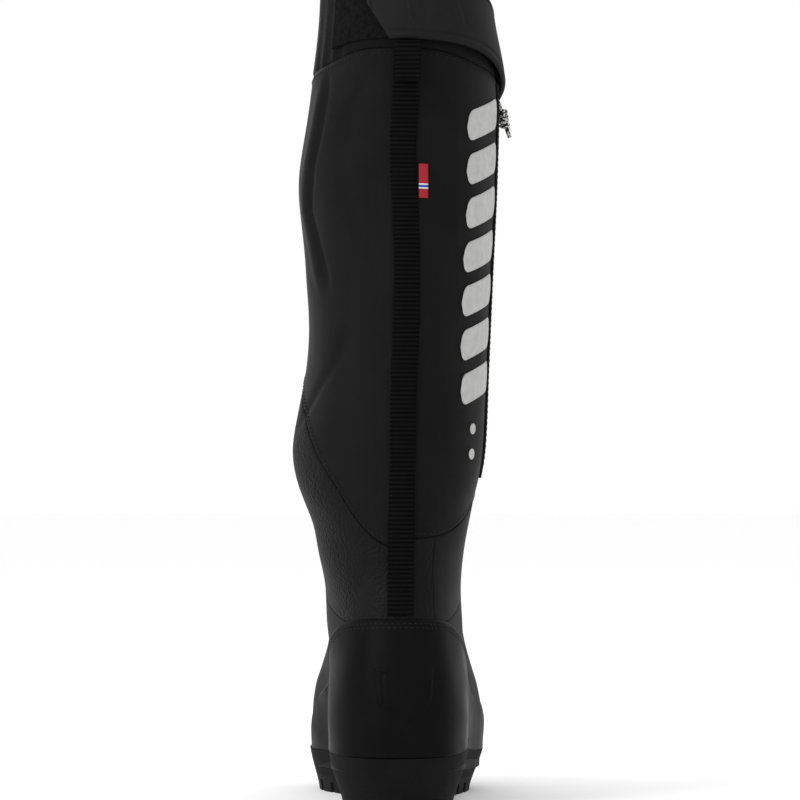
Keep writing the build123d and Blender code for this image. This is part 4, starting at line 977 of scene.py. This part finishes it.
row_along("stitch_cuff_low", np.linspace(-0.3, 1.5, 80), CUFF_LINE, -3.4, 0.1, "shaft")
row_along("stitch_cuff_round", np.linspace(1.72, TURN - 0.3, 200), CUFF_LINE, -3.4, 0.1, "shaft")
row_along("stitch_cup", np.linspace(-1.7, 1.7, 160), CUP_TOP, -3.0, 1.65, "foot", lambda a, p: 0 * a)
row_along("stitch_cup_two", np.linspace(-1.7, 1.7, 160), CUP_TOP, -5.4, 1.65, "foot", lambda a, p: 0 * a)
for i, lift in enumerate((2.6, 4.8)):
    row_along("stitch_inner_seam_%d" % i, np.linspace(-2.9, -0.08, 200), INNER_SEAM, lift, 0.1, "shaft")
row_along("stitch_outer_seam", np.linspace(0.19, 3.05, 160), OUTER_SEAM, 2.6, 0.1, "shaft")
heights = np.linspace(200, 425, 60)
for side in (-1, 1):
    angle = np.full(60, ZIP_ANGLE + side * 9.9 / ZIP_RADIUS)
    u = ring_at(angle, np.array(flat_line(0.0)), heights)
    stitch_row("stitch_zip_%s" % ("rear" if side < 0 else "front"), angle, u, 1.3, "shaft")


# ---- Floor, light and camera ---------------------------------------------------------------------
# A plain pale floor under soft studio light, seen from straight behind the heel at half the boot's height.
floor_mesh = bpy.data.meshes.new("floor")
ring = np.linspace(0, TURN, 96, endpoint=False)
floor_mesh.from_pydata(np.stack([9 * np.cos(ring), 9 * np.sin(ring), 0 * ring], 1).tolist(), [], [list(range(96))])
floor = bpy.data.objects.new("floor", floor_mesh)
bpy.context.scene.collection.objects.link(floor)
floor.data.materials.append(material("pale_floor", (0.985, 0.985, 0.985), 0.9))
world = bpy.data.worlds.new("studio")
world.use_nodes = True
world.node_tree.nodes["Background"].inputs["Color"].default_value = (1.0, 1.0, 1.0, 1)
world.node_tree.nodes["Background"].inputs["Strength"].default_value = 1.0
bpy.context.scene.world = world
bpy.context.scene.view_settings.view_transform = "Standard"


def soft_box(name, place, target, size, power):
    light = bpy.data.lights.new(name, "AREA")
    light.shape, light.size, light.energy = "SQUARE", size, power
    lamp = bpy.data.objects.new(name, light)
    lamp.location = place
    lamp.rotation_euler = (Vector(target) - Vector(place)).to_track_quat("-Z", "Y").to_euler()
    bpy.context.scene.collection.objects.link(lamp)


soft_box("left_box", (-1.6, -1.5, 1.2), (0, 0, 0.25), 1.2, 34)
soft_box("right_box", (1.7, -0.9, 1.0), (0, 0, 0.25), 1.0, 2)
soft_box("front_box", (-0.5, 2.2, 1.6), (0, 0, 0.2), 1.4, 6)
view = bpy.data.cameras.new("camera")
view.sensor_width, view.lens, view.clip_end = 36.0, 274.7, 60.0
camera = bpy.data.objects.new("camera", view)
camera.location = (0.0017, -3.69, 0.239)
camera.rotation_euler = (np.pi / 2, 0, 0)
bpy.context.scene.collection.objects.link(camera)
bpy.context.scene.camera = camera
